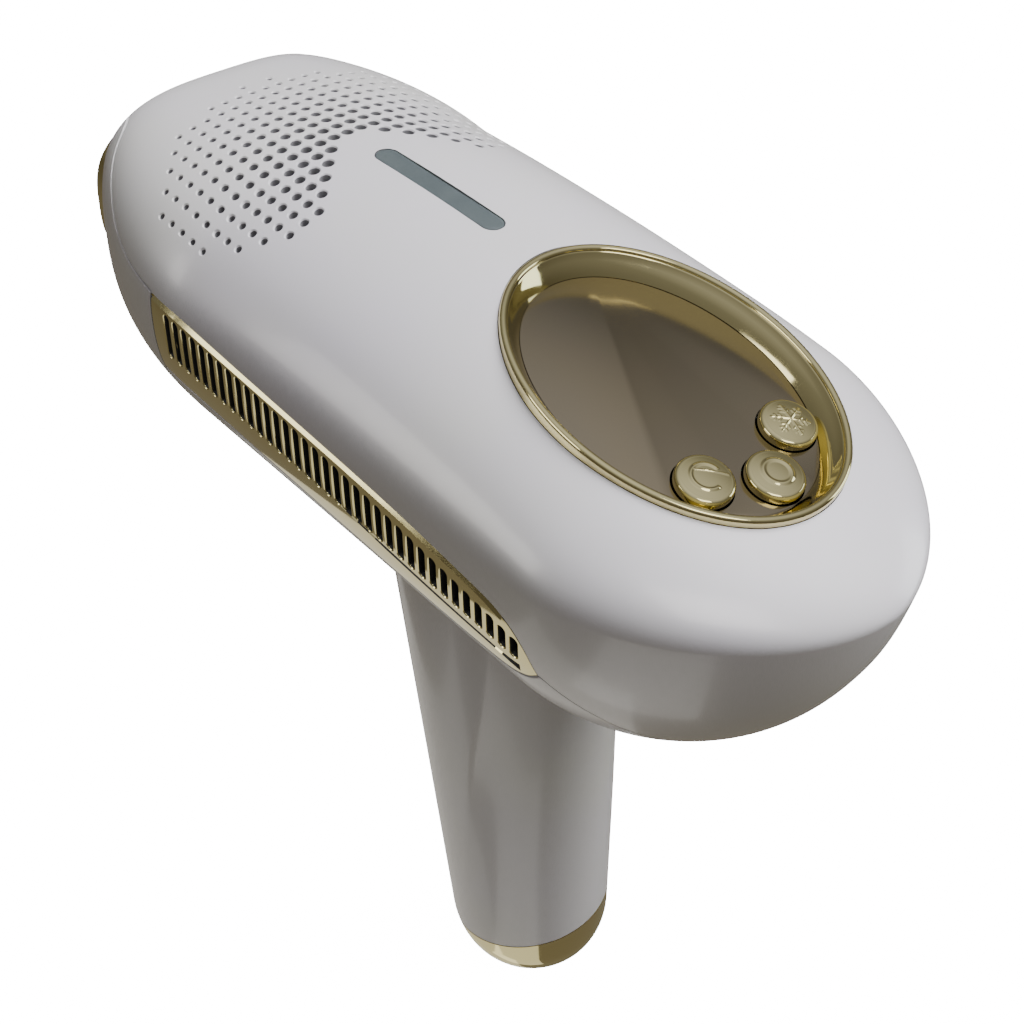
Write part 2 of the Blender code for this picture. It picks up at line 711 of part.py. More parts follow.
def fan_frame():
    frame = box("fan_frame", (-FAN_HALF, FAN_Y - FAN_HALF, FAN_BOTTOM),
                (FAN_HALF, FAN_Y + FAN_HALF, FAN_BOTTOM + FAN_DEPTH))
    top = FAN_BOTTOM + FAN_DEPTH
    cut(frame, cylinder("bore", FAN_BORE, "z", (0.0, FAN_Y), FAN_BOTTOM - 1.0, top + 1.0, count=40))
    join(frame, cylinder("motor_seat", 8.0, "z", (0.0, FAN_Y), FAN_BOTTOM, FAN_BOTTOM + 1.0))
    for i in range(3):
        strut = box("strut", (0.0, -0.9, FAN_BOTTOM), (FAN_BORE + 0.8, 0.9, FAN_BOTTOM + 1.0))
        strut.rotation_euler = (0.0, 0.0, math.radians(90 + 120 * i))
        strut.location = (0.0, FAN_Y * MM, 0.0)
        join(frame, strut)
    return finish(frame, "black_plastic")


def fan_rotor():
    """A hub with pitched blades; its origin is on the spindle's axis."""
    low, high = FAN_BOTTOM + 1.5, FAN_BOTTOM + FAN_DEPTH - 0.4
    rotor = cylinder("fan_rotor", 7.6, "z", (0.0, 0.0), low, high, "black_plastic", 28)
    for i in range(BLADES):
        rings = []
        for radius, lean in ((6.5, 0.62), (17.6, 0.36)):
            across = 2.6
            rings.append([(radius, -across, low + 0.4), (radius, -across + 1.1, low + 0.4),
                          (radius, across, low + 0.4 + 2 * across * lean),
                          (radius, across - 1.1, low + 0.4 + 2 * across * lean)])
        blade = loft("blade", rings)
        blade.rotation_euler = (0.0, 0.0, 2 * math.pi * i / BLADES)
        join(rotor, blade)
    return finish(place(rotor, (0.0, FAN_Y, 0.0)), "black_plastic")


# ---------------------------------------------------------------- electronics

def main_board():
    return finish(box("main_board", (-23.0, -34.0, 137.0), (23.0, 9.0, 138.6), "circuit_board"))


def storage_capacitor(name, x):
    return finish(cylinder(name, 8.0, "y", (x, 127.2), -13.0, 17.0, "capacitor_sleeve", 28))


def trigger_transformer():
    return finish(box("trigger_transformer", (3.0, -31.0, 138.9), (16.0, -19.0, 146.0), "black_plastic"))


def charge_coil():
    return finish(cylinder("charge_coil", 6.5, "z", (-10.0, -25.0), 138.9, 146.5, "copper_wire", 24))


# ---------------------------------------------------------------- handle

def handle_shell():
    shell = handle_solid("handle_shell")
    cut(shell, handle_solid("bore", WALL, low=3.0, high=150.0))
    plate = keep(handle_solid("plate", 0.5 * WALL, low=3.0, high=140.0),
                 box("slab", (-40.0, -80.0, PLATE_BOTTOM), (40.0, 40.0, PLATE_TOP)))
    cut(plate, cylinder("cable_hole", CABLE_HOLE, "z", (0.0, CABLE_HOLE_Y), 90.0, 130.0))
    for y in HANDLE_SCREWS:
        cut(plate, cylinder("pilot", SHANK_HOLE, "z", (0.0, y), 90.0, 130.0, count=12))
    join(shell, plate)
    keep(shell, seam_wedge("above_seam", 0.5 * FIT, True))
    cut(shell, barrel_solid("barrel", -FIT, BARREL_FRONT), trigger_prism("slot", FIT, -9.0, 6.0))
    return finish(shell, "pearl_white")


def handle_end_cap():
    cap = handle_solid("handle_end_cap", high=40.0)
    cut(cap, handle_solid("pocket", WALL, low=3.0, high=60.0))
    keep(cap, seam_wedge("below_seam", -0.5 * FIT, False))
    cut(cap, cylinder("socket_hole", SOCKET_RADIUS + FIT, "z", (0.0, SOCKET_Y), -5.0, 20.0))
    return finish(cap, "gold_chrome")


def dc_socket():
    """A round power inlet in the foot, with its centre pin standing in the bore."""
    profile = [(SOCKET_RADIUS, 12.0), (SOCKET_RADIUS, 0.5), (SOCKET_BORE, 0.5), (SOCKET_BORE, 9.5),
               (SOCKET_PIN, 9.5), (SOCKET_PIN, 2.0)]
    return finish(stacked("dc_socket", profile, (0.0, SOCKET_Y), "black_plastic", 24))


def trigger_frame():
    """Where the trigger sits: its middle on the handle's front face, and that face's lean."""
    front_y = HANDLE_RAKE * TRIGGER_HEIGHT
    front_y -= FOOT_HALF_DEPTH + (TOP_HALF_DEPTH - FOOT_HALF_DEPTH) * TRIGGER_HEIGHT / HANDLE_TOP
    run = HANDLE_RAKE * HANDLE_TOP - (TOP_HALF_DEPTH - FOOT_HALF_DEPTH)
    lean = math.atan2(-run, HANDLE_TOP)
    return (0.0, front_y, TRIGGER_HEIGHT), math.radians(90.0) + lean


def trigger_prism(name, clearance, low, high, material=None):
    """The trigger's outline extruded along its travel, which is square to the handle's front."""
    outline = stadium(TRIGGER_HALF_WIDTH + clearance, TRIGGER_HALF_LENGTH + clearance)
    place_at, turn = trigger_frame()
    return place(prism(name, outline, "z", low, high, material), place_at, turn)


def flash_trigger():
    trigger = trigger_prism("flash_trigger", 0.0, -5.6, 6.0)
    keep(trigger, handle_solid("skin", -0.5, low=20.0, high=140.0))
    return finish(trigger, "gold_chrome")


def trigger_switch():
    place_at, turn = trigger_frame()
    profile = [(3.6, -12.2), (3.6, -8.4), (1.7, -8.2), (1.7, -7.1)]
    switch = stacked("trigger_switch", profile, (0.0, 0.0), "black_plastic", 16)
    return finish(place(switch, place_at, turn))


def power_board():
    place_at, turn = trigger_frame()
    board = box("power_board", (-9.0, -60.0, -14.1), (9.0, 9.0, -12.5), "circuit_board")
    return finish(place(board, place_at, turn))


def power_cable():
    path = [(0.0, -30.2, 98.5), (0.0, -29.0, 103.0), (0.0, -26.5, 109.0), (0.0, -25.0, 116.0),
            (0.0, -24.0, 126.0), (0.0, -24.0, 136.6)]
    return finish(tube("power_cable", path, 1.5, "cable_red"))


def screw(name, x, y, head_low, head_high, tip):
    """A pan-head screw; its shank points up or down from the head."""
    profile = [(HEAD_RADIUS, head_low), (HEAD_RADIUS, head_high), (SHANK, head_high), (SHANK, tip)]
    if tip < head_low:
        profile = [(HEAD_RADIUS, head_high), (HEAD_RADIUS, head_low), (SHANK, head_low), (SHANK, tip)]
    return finish(stacked(name, profile, (x, y), "screw_steel", 14))


# ---------------------------------------------------------------- assembly

def build():
    upper_shell()
    lower_shell()
    front_cover()
    vent_trim("vent_trim_right", 1)
    vent_trim("vent_trim_left", -1)
    display_bezel()
    display_panel()
    display_module()
    key_board()
    for name, spot in BUTTON_SPOTS.items():
        panel_button(name, spot)
        key_switch(name.replace("button", "switch"), spot)
    indicator_bar()
    indicator_board()
    window_frame()
    window_glass()
    window_gasket()
    cold_plate()
    filter_glass()
    reflector()
    flash_lamp()
    lamp_holder("lamp_holder_right", 1)
    lamp_holder("lamp_holder_left", -1)
    peltier_module()
    heat_sink()
    fan_frame()
    fan_rotor()
    main_board()
    storage_capacitor("storage_capacitor_right", 8.4)
    storage_capacitor("storage_capacitor_left", -8.4)
    trigger_transformer()
    charge_coil()
    handle_shell()
    handle_end_cap()
    dc_socket()
    flash_trigger()
    trigger_switch()
    power_board()
    power_cable()
    for i, (x, y) in enumerate(FRONT_SCREWS + REAR_SCREWS):
        head_high = COUNTERBORE_TOP - FIT
        screw(f"case_screw_{i + 1}", x, y, head_high - HEAD_HEIGHT, head_high, POST_BOTTOM + 9.0)
    for i, y in enumerate(HANDLE_SCREWS):
        head_high = HANDLE_HEAD_LOW + HEAD_HEIGHT
        screw(f"handle_screw_{i + 1}", 0.0, y, HANDLE_HEAD_LOW, head_high, PLATE_BOTTOM - 1.0)


clear_scene()
SHADES = make_materials()
build()
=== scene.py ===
"""Looks of the IPL hair remover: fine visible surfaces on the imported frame, materials, light and camera.

Sizes are in millimetres and MM turns them into metres. The shape formulas repeat those of the model, so
every fine piece lies on the solid that it replaces.
"""
import json
import math

import bmesh
import bpy
import numpy as np
from mathutils import Matrix, Vector
from mathutils.bvhtree import BVHTree
from mathutils.interpolate import poly_3d_calc


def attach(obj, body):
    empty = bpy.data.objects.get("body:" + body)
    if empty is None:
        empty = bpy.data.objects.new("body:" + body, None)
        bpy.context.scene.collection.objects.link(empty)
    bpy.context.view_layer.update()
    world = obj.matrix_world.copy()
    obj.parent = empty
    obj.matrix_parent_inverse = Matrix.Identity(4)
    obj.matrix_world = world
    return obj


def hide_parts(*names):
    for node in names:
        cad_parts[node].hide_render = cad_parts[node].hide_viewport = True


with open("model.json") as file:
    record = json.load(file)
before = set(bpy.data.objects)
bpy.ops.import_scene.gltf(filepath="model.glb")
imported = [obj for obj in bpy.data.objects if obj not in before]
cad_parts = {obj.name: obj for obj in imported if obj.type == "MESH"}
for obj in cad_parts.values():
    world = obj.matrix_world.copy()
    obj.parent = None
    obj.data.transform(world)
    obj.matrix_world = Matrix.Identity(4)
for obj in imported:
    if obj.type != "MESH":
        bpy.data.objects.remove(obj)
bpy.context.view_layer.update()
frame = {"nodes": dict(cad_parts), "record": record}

MM = 0.001
FIT = 0.3

# ---- barrel ----
BARREL_REAR = 45.0
BARREL_FRONT = -105.5
BARREL_BOTTOM = 109.0
REAR_HALF_WIDTH = 35.0
FRONT_WIDENING = 1.5
WIDENING_REAR_Y = 9.0
WIDENING_LENGTH = 85.0
CROWN_TOP = 164.8
CROWN_Y = -31.0
CROWN_RADIUS = 410.0
AXIS_HEIGHT = 144.3
AXIS_SLOPE = 0.0677
AXIS_Y = -19.6
REAR_TAPER = 36.5
FRONT_TAPER = 50.5
FRONT_TAPER_Y = -68.0
REAR_RISE = 50.0
FRONT_RISE = 19.0
FRONT_RISE_Y = -98.5
REAR_DROP = 34.0
UPPER_ROUNDNESS = 2.06
LOWER_ROUNDNESS = 2.5
FRONT_UPPER_ROUNDNESS = 3.2
FRONT_LOWER_ROUNDNESS = 2.3
FRONT_ROUNDNESS_Y = -67.0
FRONT_EDGE = 2.1
WALL = 2.2
FRONT_WALL = 2.6
VENT_FRONT = -73.2
LIP_LINE = [(-113.0, 155.5), (-104.0, 155.3), (-101.0, 154.8), (-97.9, 152.6), (-93.2, 150.1),
            (-87.8, 147.3), (-84.5, 146.1), (-80.0, 145.1), (VENT_FRONT, 144.5)]
REAR_SEAM = [(14.5, 131.2), (21.0, 127.0), (30.0, 121.5), (60.0, 110.0)]
VENT_TOP = [(VENT_FRONT, 144.2), (-24.0, 143.0), (0.0, 141.2), (7.3, 139.6), (11.0, 136.5), (13.5, 131.5)]
VENT_BOTTOM = [(13.5, 131.5), (11.0, 129.0), (5.0, 126.6), (-8.0, 125.6), (-30.0, 126.5), (VENT_FRONT, 129.0)]
FRONT_SCREWS = [(-27.0, -84.0), (27.0, -84.0)]
REAR_SCREWS = [(-25.0, 13.0), (25.0, 13.0)]
COUNTERBORE_RADIUS = 3.0
COUNTERBORE_TOP = 125.4

# ---- vents, grille and light bar ----
SLOT_COUNT = 35
SLOT_FIRST = -69.0
SLOT_PITCH = 2.31
SLOT_HALF_WIDTH = 0.74
SLOT_LOW = 133.9
SLOT_LOW_FALL = 1.7
SLOT_HIGH = 142.6
SLOT_HIGH_FALL = 5.6
SLOT_HIGH_CURVE = 2.2
# how far a slot's outline grows at each depth, from above the surface to behind the strip
SLOT_PROFILE = ((0.28, -0.20), (0.13, 0.0), (0.02, 0.12), (0.0, 0.17), (0.0, 3.4))
# slot walls deeper than this under the strip's surface are painted black: painted shade inside the slots
SLOT_SHADE_DEPTH = 0.19
GROOVE_LINE = [(-27.0, 133.2), (-18.0, 132.1), (-6.0, 130.9), (4.0, 130.3), (10.5, 130.2)]
HOLE_PITCH_X = 2.749
HOLE_PITCH_Y = 2.74
HOLE_ROW_Y = -66.5
# the holes are largest around one spot and shrink over a ring around it
HOLE_SPOT_Y = -62.0
HOLE_SPOT_RADIUS = 8.0
HOLE_RING_WIDTH = 23.0
HOLE_RADIUS = 1.00
HOLE_RADIUS_FALL = 0.54
HOLE_PROFILE = ((0.34, -0.16), (0.20, 0.0), (0.05, 0.13), (0.0, 0.24), (0.0, 4.2))
# hole walls deeper than this under the roof are painted dark grey: painted shade inside the holes
HOLE_SHADE_DEPTH = 0.5
# first and last row of holes in each column, counted outwards from the middle one
HOLE_ROWS = [(-9, -1), (-10, -1), (-9, 0), (-9, 1), (-9, 2), (-8, 3), (-8, 4), (-8, 4), (-7, 4), (-6, 3),
             (-5, 2), (-4, 0)]
BAR_Y = -47.2
BAR_HALF = (1.95, 13.9)
# how far the bar's outline shrinks, and how far under the roof it lies, from its foot to its middle
BAR_PROFILE = ((0.0, 1.9), (0.0, 0.16), (0.07, 0.04), (0.2, 0.0), (0.6, 0.0), (1.1, 0.0), (1.5, 0.0),
               (1.85, 0.0))

# ---- display ----
DISPLAY_CENTRE = (0.0, 2.4, 161.4)
DISPLAY_TILT = 0.124
BEZEL_HALF = (21.6, 27.9)
BEZEL_BOTTOM = -6.4
PANEL_HALF = (18.0, 24.4)
PANEL_TOP = -3.4
KEY_RADIUS = 4.3
KEY_TOP = -1.5
KEY_SPOTS = {"cooling": (-9.07, 14.7), "mode": (0.0, 19.8), "power": (9.07, 14.7)}

# ---- light window ----
WINDOW_Z = 137.6
WINDOW_FACE = -108.4
FRAME_HALF = (25.0, 15.8)
FRAME_ROUNDING = 1.2
FRAME_REAR = BARREL_FRONT + 8.0
TUBE_HALF = (21.3, 12.8)
WINDOW_HOLE_HALF = (21.8, 13.3)
GLASS_HALF = (19.0, 9.5)

# ---- handle ----
HANDLE_TOP = 110.0
HANDLE_RAKE = -24.5 / HANDLE_TOP
CAP_SEAM = (9.4, 0.386)
FOOT_HALF_WIDTH = 17.4
FOOT_HALF_DEPTH = 16.6
TOP_HALF_WIDTH = 20.0
TOP_HALF_DEPTH = 23.0
FOOT_ROUNDING = 8.0
FOOT_FLAT = 0.72
SOCKET_Y = -6.3
SOCKET_HOLE_RADIUS = 4.2
CREASE_HEIGHTS = (15.0, 46.0, 68.0, 83.0, 95.0, 120.0)
CREASE_ANGLES = np.radians((-3.0, 8.0, 18.0, 28.0, 34.0, 44.0))
CREASE_COLUMN = math.radians(20.0)
CREASE_REACH = math.radians(60.0)
CREASE_WIDTH = math.radians(48.0)
CREASE_DEPTH = 0.6
CREASE_START = 15.0
CREASE_FADE = 45.0
TRIGGER_Z = 84.0
TRIGGER_HALF = (6.0, 12.0)

AROUND = 176
ALONG = 130
MERGE = 0.002 * MM


# ---------------------------------------------------------------- mesh helpers

def mesh_object(name, points, faces):
    """A new object from points in millimetres, with its faces turned outwards."""
    mesh = bpy.data.meshes.new(name)
    mesh.from_pydata((np.asarray(points, float) * MM).tolist(), [], faces)
    shell = bmesh.new()
    shell.from_mesh(mesh)
    bmesh.ops.recalc_face_normals(shell, faces=shell.faces)
    shell.to_mesh(mesh)
    shell.free()
    obj = bpy.data.objects.new(name, mesh)
    bpy.context.scene.collection.objects.link(obj)
    return obj


def loft_faces(count, rings, closed, start=0):
    """The faces between rings of count points each, of which the first point has the number start."""
    faces = []
    for i in range(rings if closed else rings - 1):
        here = start + i * count
        after = start + ((i + 1) % rings) * count
        for j in range(count):
            k = (j + 1) % count
            faces.append((here + j, here + k, after + k, after + j))
    if not closed:
        faces.append(tuple(range(start, start + count)))
        faces.append(tuple(range(start + (rings - 1) * count, start + rings * count)))
    return faces


def loft(name, rings, closed=False):
    """Skins rings of equal length; its ends are capped, or joined to each other if closed."""
    rings = [np.asarray(ring, float) for ring in rings]
    return mesh_object(name, np.concatenate(rings), loft_faces(len(rings[0]), len(rings), closed))


def lofts(name, sets):
    """Several separate capped lofts in one mesh, used as one cutter."""
    points, faces = [], []
    for rings in sets:
        faces += loft_faces(len(rings[0]), len(rings), False, sum(len(p) for p in points))
        points += [np.asarray(ring, float) for ring in rings]
    return mesh_object(name, np.concatenate(points), faces)


def prism(name, outline, axis, low, high):
    """Extrudes a flat outline along an axis. The outline's pairs are the other two axes in order."""
    outline = np.asarray(outline, float)
    rings = [np.insert(outline, "xyz".index(axis), level, axis=1) for level in (low, high)]
    return loft(name, rings)


def superoval(half_a, half_b, count=96, power=2.0, centre=(0.0, 0.0)):
    """An ellipse for a power of 2, and squarer for a higher one."""
    angle = np.arange(count) * 2 * np.pi / count
    c, s = np.cos(angle), np.sin(angle)
    return np.stack([centre[0] + half_a * np.sign(c) * np.abs(c) ** (2 / power),
                     centre[1] + half_b * np.sign(s) * np.abs(s) ** (2 / power)], 1)


def stadium(half_a, half_b, count=64):
    """A strip with round ends."""
    radius = min(half_a, half_b)
    angle = (np.arange(count) + 0.5) * 2 * np.pi / count
    c, s = np.cos(angle), np.sin(angle)
    return np.stack([radius * c + np.sign(c) * (half_a - radius),
                     radius * s + np.sign(s) * (half_b - radius)], 1)


def smooth_line(points, step=1.2):
    """A Catmull-Rom curve through the points."""
    p = np.asarray(points, float)
    p = np.vstack([2 * p[0] - p[1], p, 2 * p[-1] - p[-2]])
    line = []
    for i in range(1, len(p) - 2):
        count = max(2, int(np.linalg.norm(p[i + 1] - p[i]) / step))
        for t in np.arange(count) / count:
            line.append(0.5 * (2 * p[i] + (p[i + 1] - p[i - 1]) * t
                               + (2 * p[i - 1] - 5 * p[i] + 4 * p[i + 1] - p[i + 2]) * t ** 2
                               + (3 * p[i] - p[i - 1] - 3 * p[i + 1] + p[i + 2]) * t ** 3))
    line.append(p[-2])
    return np.array(line)


def combine(obj, operation, *others):
    """Applies one Boolean after another and removes the objects that were used as tools."""
    for other in others:
        bpy.context.view_layer.update()
        step = obj.modifiers.new(operation, "BOOLEAN")
        step.operation = operation
        step.solver = "EXACT"
        step.object = other
        graph = bpy.context.evaluated_depsgraph_get()
        result = bpy.data.meshes.new_from_object(obj.evaluated_get(graph))
        obj.modifiers.clear()
        obj.data = result
        bpy.data.objects.remove(other, do_unlink=True)
    if not obj.data.polygons:
        raise RuntimeError(f"nothing is left of {obj.name}")
    return obj


def cut(obj, *tools):
    return combine(obj, "DIFFERENCE", *tools)


def keep(obj, *tools):
    return combine(obj, "INTERSECT", *tools)


def clean(obj):
    """Removes what the Booleans leave behind, and keeps edges sharper than 30 degrees sharp."""
    shell = bmesh.new()
    shell.from_mesh(obj.data)
    bmesh.ops.remove_doubles(shell, verts=shell.verts, dist=MERGE)
    bmesh.ops.dissolve_degenerate(shell, edges=shell.edges, dist=MERGE)
    bmesh.ops.delete(shell, geom=[edge for edge in shell.edges if not edge.link_faces], context="EDGES")
    shell.to_mesh(obj.data)
    shell.free()
    obj.data.shade_smooth()
    obj.data.set_sharp_from_angle(angle=math.radians(30))
    return obj


class Surface:
    """An uncut fine surface, which gives a cut piece on it the smooth normals that the cuts disturb."""

    def __init__(self, obj):
        mesh = obj.data
        self.points = [v.co.copy() for v in mesh.vertices]
        self.normals = [v.normal.copy() for v in mesh.vertices]
        self.faces = [tuple(p.vertices) for p in mesh.polygons]
        self.tree = BVHTree.FromPolygons(self.points, self.faces)

    def normal_at(self, spot):
        """The surface's own normal nearest to a spot, blended between the corners of its face."""
        place, _, index, _ = self.tree.find_nearest(spot)
        corners = self.faces[index]
        weights = poly_3d_calc([self.points[i] for i in corners], place)
        return sum((w * self.normals[i] for w, i in zip(weights, corners)), Vector()).normalized()

    def smooth(self, obj, reach=0.06):
        """Gives the faces that lie on this surface its normals, with a sharp edge where they end."""
        mesh = obj.data
        on_skin = []
        for face in mesh.polygons:
            _, facing, _, gap = self.tree.find_nearest(face.center)
            on_skin.append(gap < reach * MM and face.normal.dot(facing) > 0.85)
        sides = {}
        for face in mesh.polygons:
            for key in face.edge_keys:
                sides.setdefault(key, []).append(on_skin[face.index])
        for edge in mesh.edges:
            edge.use_edge_sharp = edge.use_edge_sharp or len(set(sides[edge.key])) > 1
        found = {}
        normals = [(0.0, 0.0, 0.0)] * len(mesh.loops)
        for face in mesh.polygons:
            if on_skin[face.index]:
                for corner in face.loop_indices:
                    vertex = mesh.loops[corner].vertex_index
                    if vertex not in found:
                        found[vertex] = tuple(self.normal_at(mesh.vertices[vertex].co))
                    normals[corner] = found[vertex]
        mesh.normals_split_custom_set(normals)
        return obj


# ---------------------------------------------------------------- shapes shared with the model

def rounded(distance, length, power):
    """1 before a rounded end starts, falling to 0 at its tip."""
    u = np.clip(distance / length, 0.0, 1.0)
    return (1.0 - u ** power) ** (1.0 / power)


def section(y, inset=0.0):
    """Half width, centre height, rise and drop of the barrel at y."""
    half_width = REAR_HALF_WIDTH + FRONT_WIDENING * np.clip((WIDENING_REAR_Y - y) / WIDENING_LENGTH, 0.0, 1.0)
    half_width = half_width * rounded(y - (BARREL_REAR - REAR_TAPER), REAR_TAPER, 1.75)
    half_width = half_width * rounded(FRONT_TAPER_Y - y, FRONT_TAPER, 2.0)
    centre = AXIS_HEIGHT + AXIS_SLOPE * (y - AXIS_Y)
    crown = CROWN_TOP - (y - CROWN_Y) ** 2 / (2 * CROWN_RADIUS)
    rise = (crown - centre) * rounded(y - (BARREL_REAR - REAR_RISE), REAR_RISE, 2.0)
    rise = rise * rounded(FRONT_RISE_Y - y, FRONT_RISE, 2.5)
    drop = (centre - BARREL_BOTTOM) * rounded(y - (BARREL_REAR - REAR_DROP), REAR_DROP, 2.3)
    return (np.maximum(half_width - inset, 0.2), centre, np.maximum(rise - inset, 0.2),
            np.maximum(drop - inset, 0.2))


def roundness(y):
    """The powers of the section's upper and lower halves, which change towards the front."""
    share = np.clip((FRONT_ROUNDNESS_Y - y) / (FRONT_ROUNDNESS_Y - BARREL_FRONT), 0.0, 1.0)
    return (UPPER_ROUNDNESS + (FRONT_UPPER_ROUNDNESS - UPPER_ROUNDNESS) * share,
            LOWER_ROUNDNESS + (FRONT_LOWER_ROUNDNESS - LOWER_ROUNDNESS) * share)


def barrel_ring(y, inset=0.0, at=None, count=AROUND):
    """The barrel's section at y, placed there or at another place along the barrel."""
    half_width, centre, rise, drop = section(y, inset)
    angle = np.arange(count) * 2 * np.pi / count
    c, s = np.cos(angle), np.sin(angle)
    power = np.where(s >= 0, *roundness(y))
    height = np.where(s >= 0, rise, drop)
    return np.stack([half_width * np.sign(c) * np.abs(c) ** (2 / power),
                     np.full(count, y if at is None else at),
                     centre + height * np.sign(s) * np.abs(s) ** (2 / power)], 1)


def barrel(name):
    """The whole outer barrel as one fine solid with a rounded front edge."""
    rings = []
    for i in range(9):
        a = 0.5 * math.pi * (1 - i / 8)
        inset = FRONT_EDGE * (1 - math.cos(a))
        y = BARREL_FRONT + FRONT_EDGE * (1 - math.sin(a))
        rings.append(barrel_ring(y, inset))
    start = BARREL_FRONT + FRONT_EDGE
    for i in range(1, ALONG):
        rings.append(barrel_ring(start + (BARREL_REAR - start) * math.sin(0.5 * math.pi * i / ALONG)))
    return loft(name, rings)


def cavity(name):
    """The room inside the wall. Behind closing_y its rings are taken from further back, for the end wall."""
    start, end = BARREL_FRONT + FRONT_WALL, BARREL_REAR - WALL
    closing_y = 9.0
    rings = []
    for i in range(30):
        y = start + (end - 0.3 - start) * math.sin(0.5 * math.pi * i / 30)
        reach = y + WALL * min(max((y - closing_y) / (end - closing_y), 0.0), 1.0)
        rings.append(barrel_ring(min(reach, BARREL_REAR - 0.02), WALL, at=y, count=56))
    return loft(name, rings)


def roof_height(x, y):
    half_width, centre, rise, _ = section(y)
    power = roundness(y)[0]
    return centre + rise * (1.0 - np.clip(np.abs(x) / half_width, 0, 1) ** power) ** (1 / power)


def side_width(y, z):
    half_width, centre, rise, drop = section(y)
    power = np.where(z >= centre, *roundness(y))
    height = np.where(z >= centre, rise, drop)
    return half_width * (1.0 - np.clip(np.abs(z - centre) / height, 0, 1) ** power) ** (1 / power)


def side_points(outline, side, depth=0.0):
    """Puts (y, z) pairs on the barrel's side, then moves them along its normal; depth is inward."""
    y, z = outline[:, 0], outline[:, 1]
    h = 0.05
    slope_y = (side_width(y + h, z) - side_width(y - h, z)) / (2 * h)
    slope_z = (side_width(y, z + h) - side_width(y, z - h)) / (2 * h)
    normal = np.stack([np.ones_like(y), -slope_y, -slope_z], 1)
    normal /= np.linalg.norm(normal, axis=1)[:, None]
    spots = np.stack([side_width(y, z), y, z], 1) - depth * normal
    return spots * np.array([side, 1.0, 1.0])


def handle_ring(z, inset=0.0, count=96, dished=False):
    """One level of the grip. A dished ring has a shallow hollow behind a slanting crease on each side."""
    share = z / HANDLE_TOP
    squeeze = 1.0
    if z < FOOT_ROUNDING:
        squeeze = FOOT_FLAT + (1 - FOOT_FLAT) * math.sqrt(1 - (1 - z / FOOT_ROUNDING) ** 2)
    half_x = (FOOT_HALF_WIDTH + (TOP_HALF_WIDTH - FOOT_HALF_WIDTH) * share) * squeeze - inset
    half_y = (FOOT_HALF_DEPTH + (TOP_HALF_DEPTH - FOOT_HALF_DEPTH) * share) * squeeze - inset
    angle = np.arange(count) * 2 * np.pi / count
    scale = np.ones(count)
    if dished:
        crease = np.interp(z, CREASE_HEIGHTS, CREASE_ANGLES)
        turn = np.arctan2(np.sin(angle), np.abs(np.cos(angle)))
        # columns of points near the middle of the side are moved onto the crease, so that it is a clean line
        near = np.cos(np.clip((turn - CREASE_COLUMN) / CREASE_REACH, -1.0, 1.0) * 0.5 * np.pi) ** 2
        moved = turn + (crease - CREASE_COLUMN) * near
        angle = np.where(np.cos(angle) >= 0, moved, np.pi - moved)
        u = np.clip((moved - crease) / CREASE_WIDTH, 0.0, 1.0)
        depth = CREASE_DEPTH * np.clip((z - CREASE_START) / CREASE_FADE, 0.0, 1.0)
        # u (1 - u) squared peaks at 4 / 27, so this is deepest by exactly the depth
        scale -= depth * 6.75 * u * (1 - u) ** 2 / half_x
    return np.stack([half_x * scale * np.cos(angle), HANDLE_RAKE * z + half_y * scale * np.sin(angle),
                     np.full(count, z)], 1)


def handle(name, inset=0.0, low=0.0, high=138.0, count=144, dished=False):
    """The whole grip from its foot up into the barrel, with closer rings where the foot is rounded."""
    heights = [low + (FOOT_ROUNDING - low) * (1 - math.cos(0.5 * math.pi * i / 12)) for i in range(12)]
    heights += [FOOT_ROUNDING + (high - FOOT_ROUNDING) * i / 40 for i in range(41)]
    return loft(name, [handle_ring(z, inset, count, dished) for z in heights])


def seam_side(name, offset, above):
    """Everything above, or below, the slanted seam of the end cap."""
    def seam(y):
        return CAP_SEAM[0] + CAP_SEAM[1] * y + offset
    far = 200.0 if above else -60.0
    return prism(name, [(-90.0, seam(-90.0)), (60.0, seam(60.0)), (60.0, far), (-90.0, far)], "x", -60.0, 60.0)


def on_display(points):
    """From the display's own plane to its place in the roof."""
    p = np.asarray(points, float)
    c, s = math.cos(DISPLAY_TILT), math.sin(DISPLAY_TILT)
    turned = np.stack([p[:, 0], p[:, 1] * c + p[:, 2] * s, p[:, 2] * c - p[:, 1] * s], 1)
    return turned + np.array(DISPLAY_CENTRE)


def display_ring(outline, z):
    """A flat outline at height z over the display's own plane, put in its place."""
    return on_display(np.insert(outline, 2, z, axis=1))


# ---------------------------------------------------------------- materials

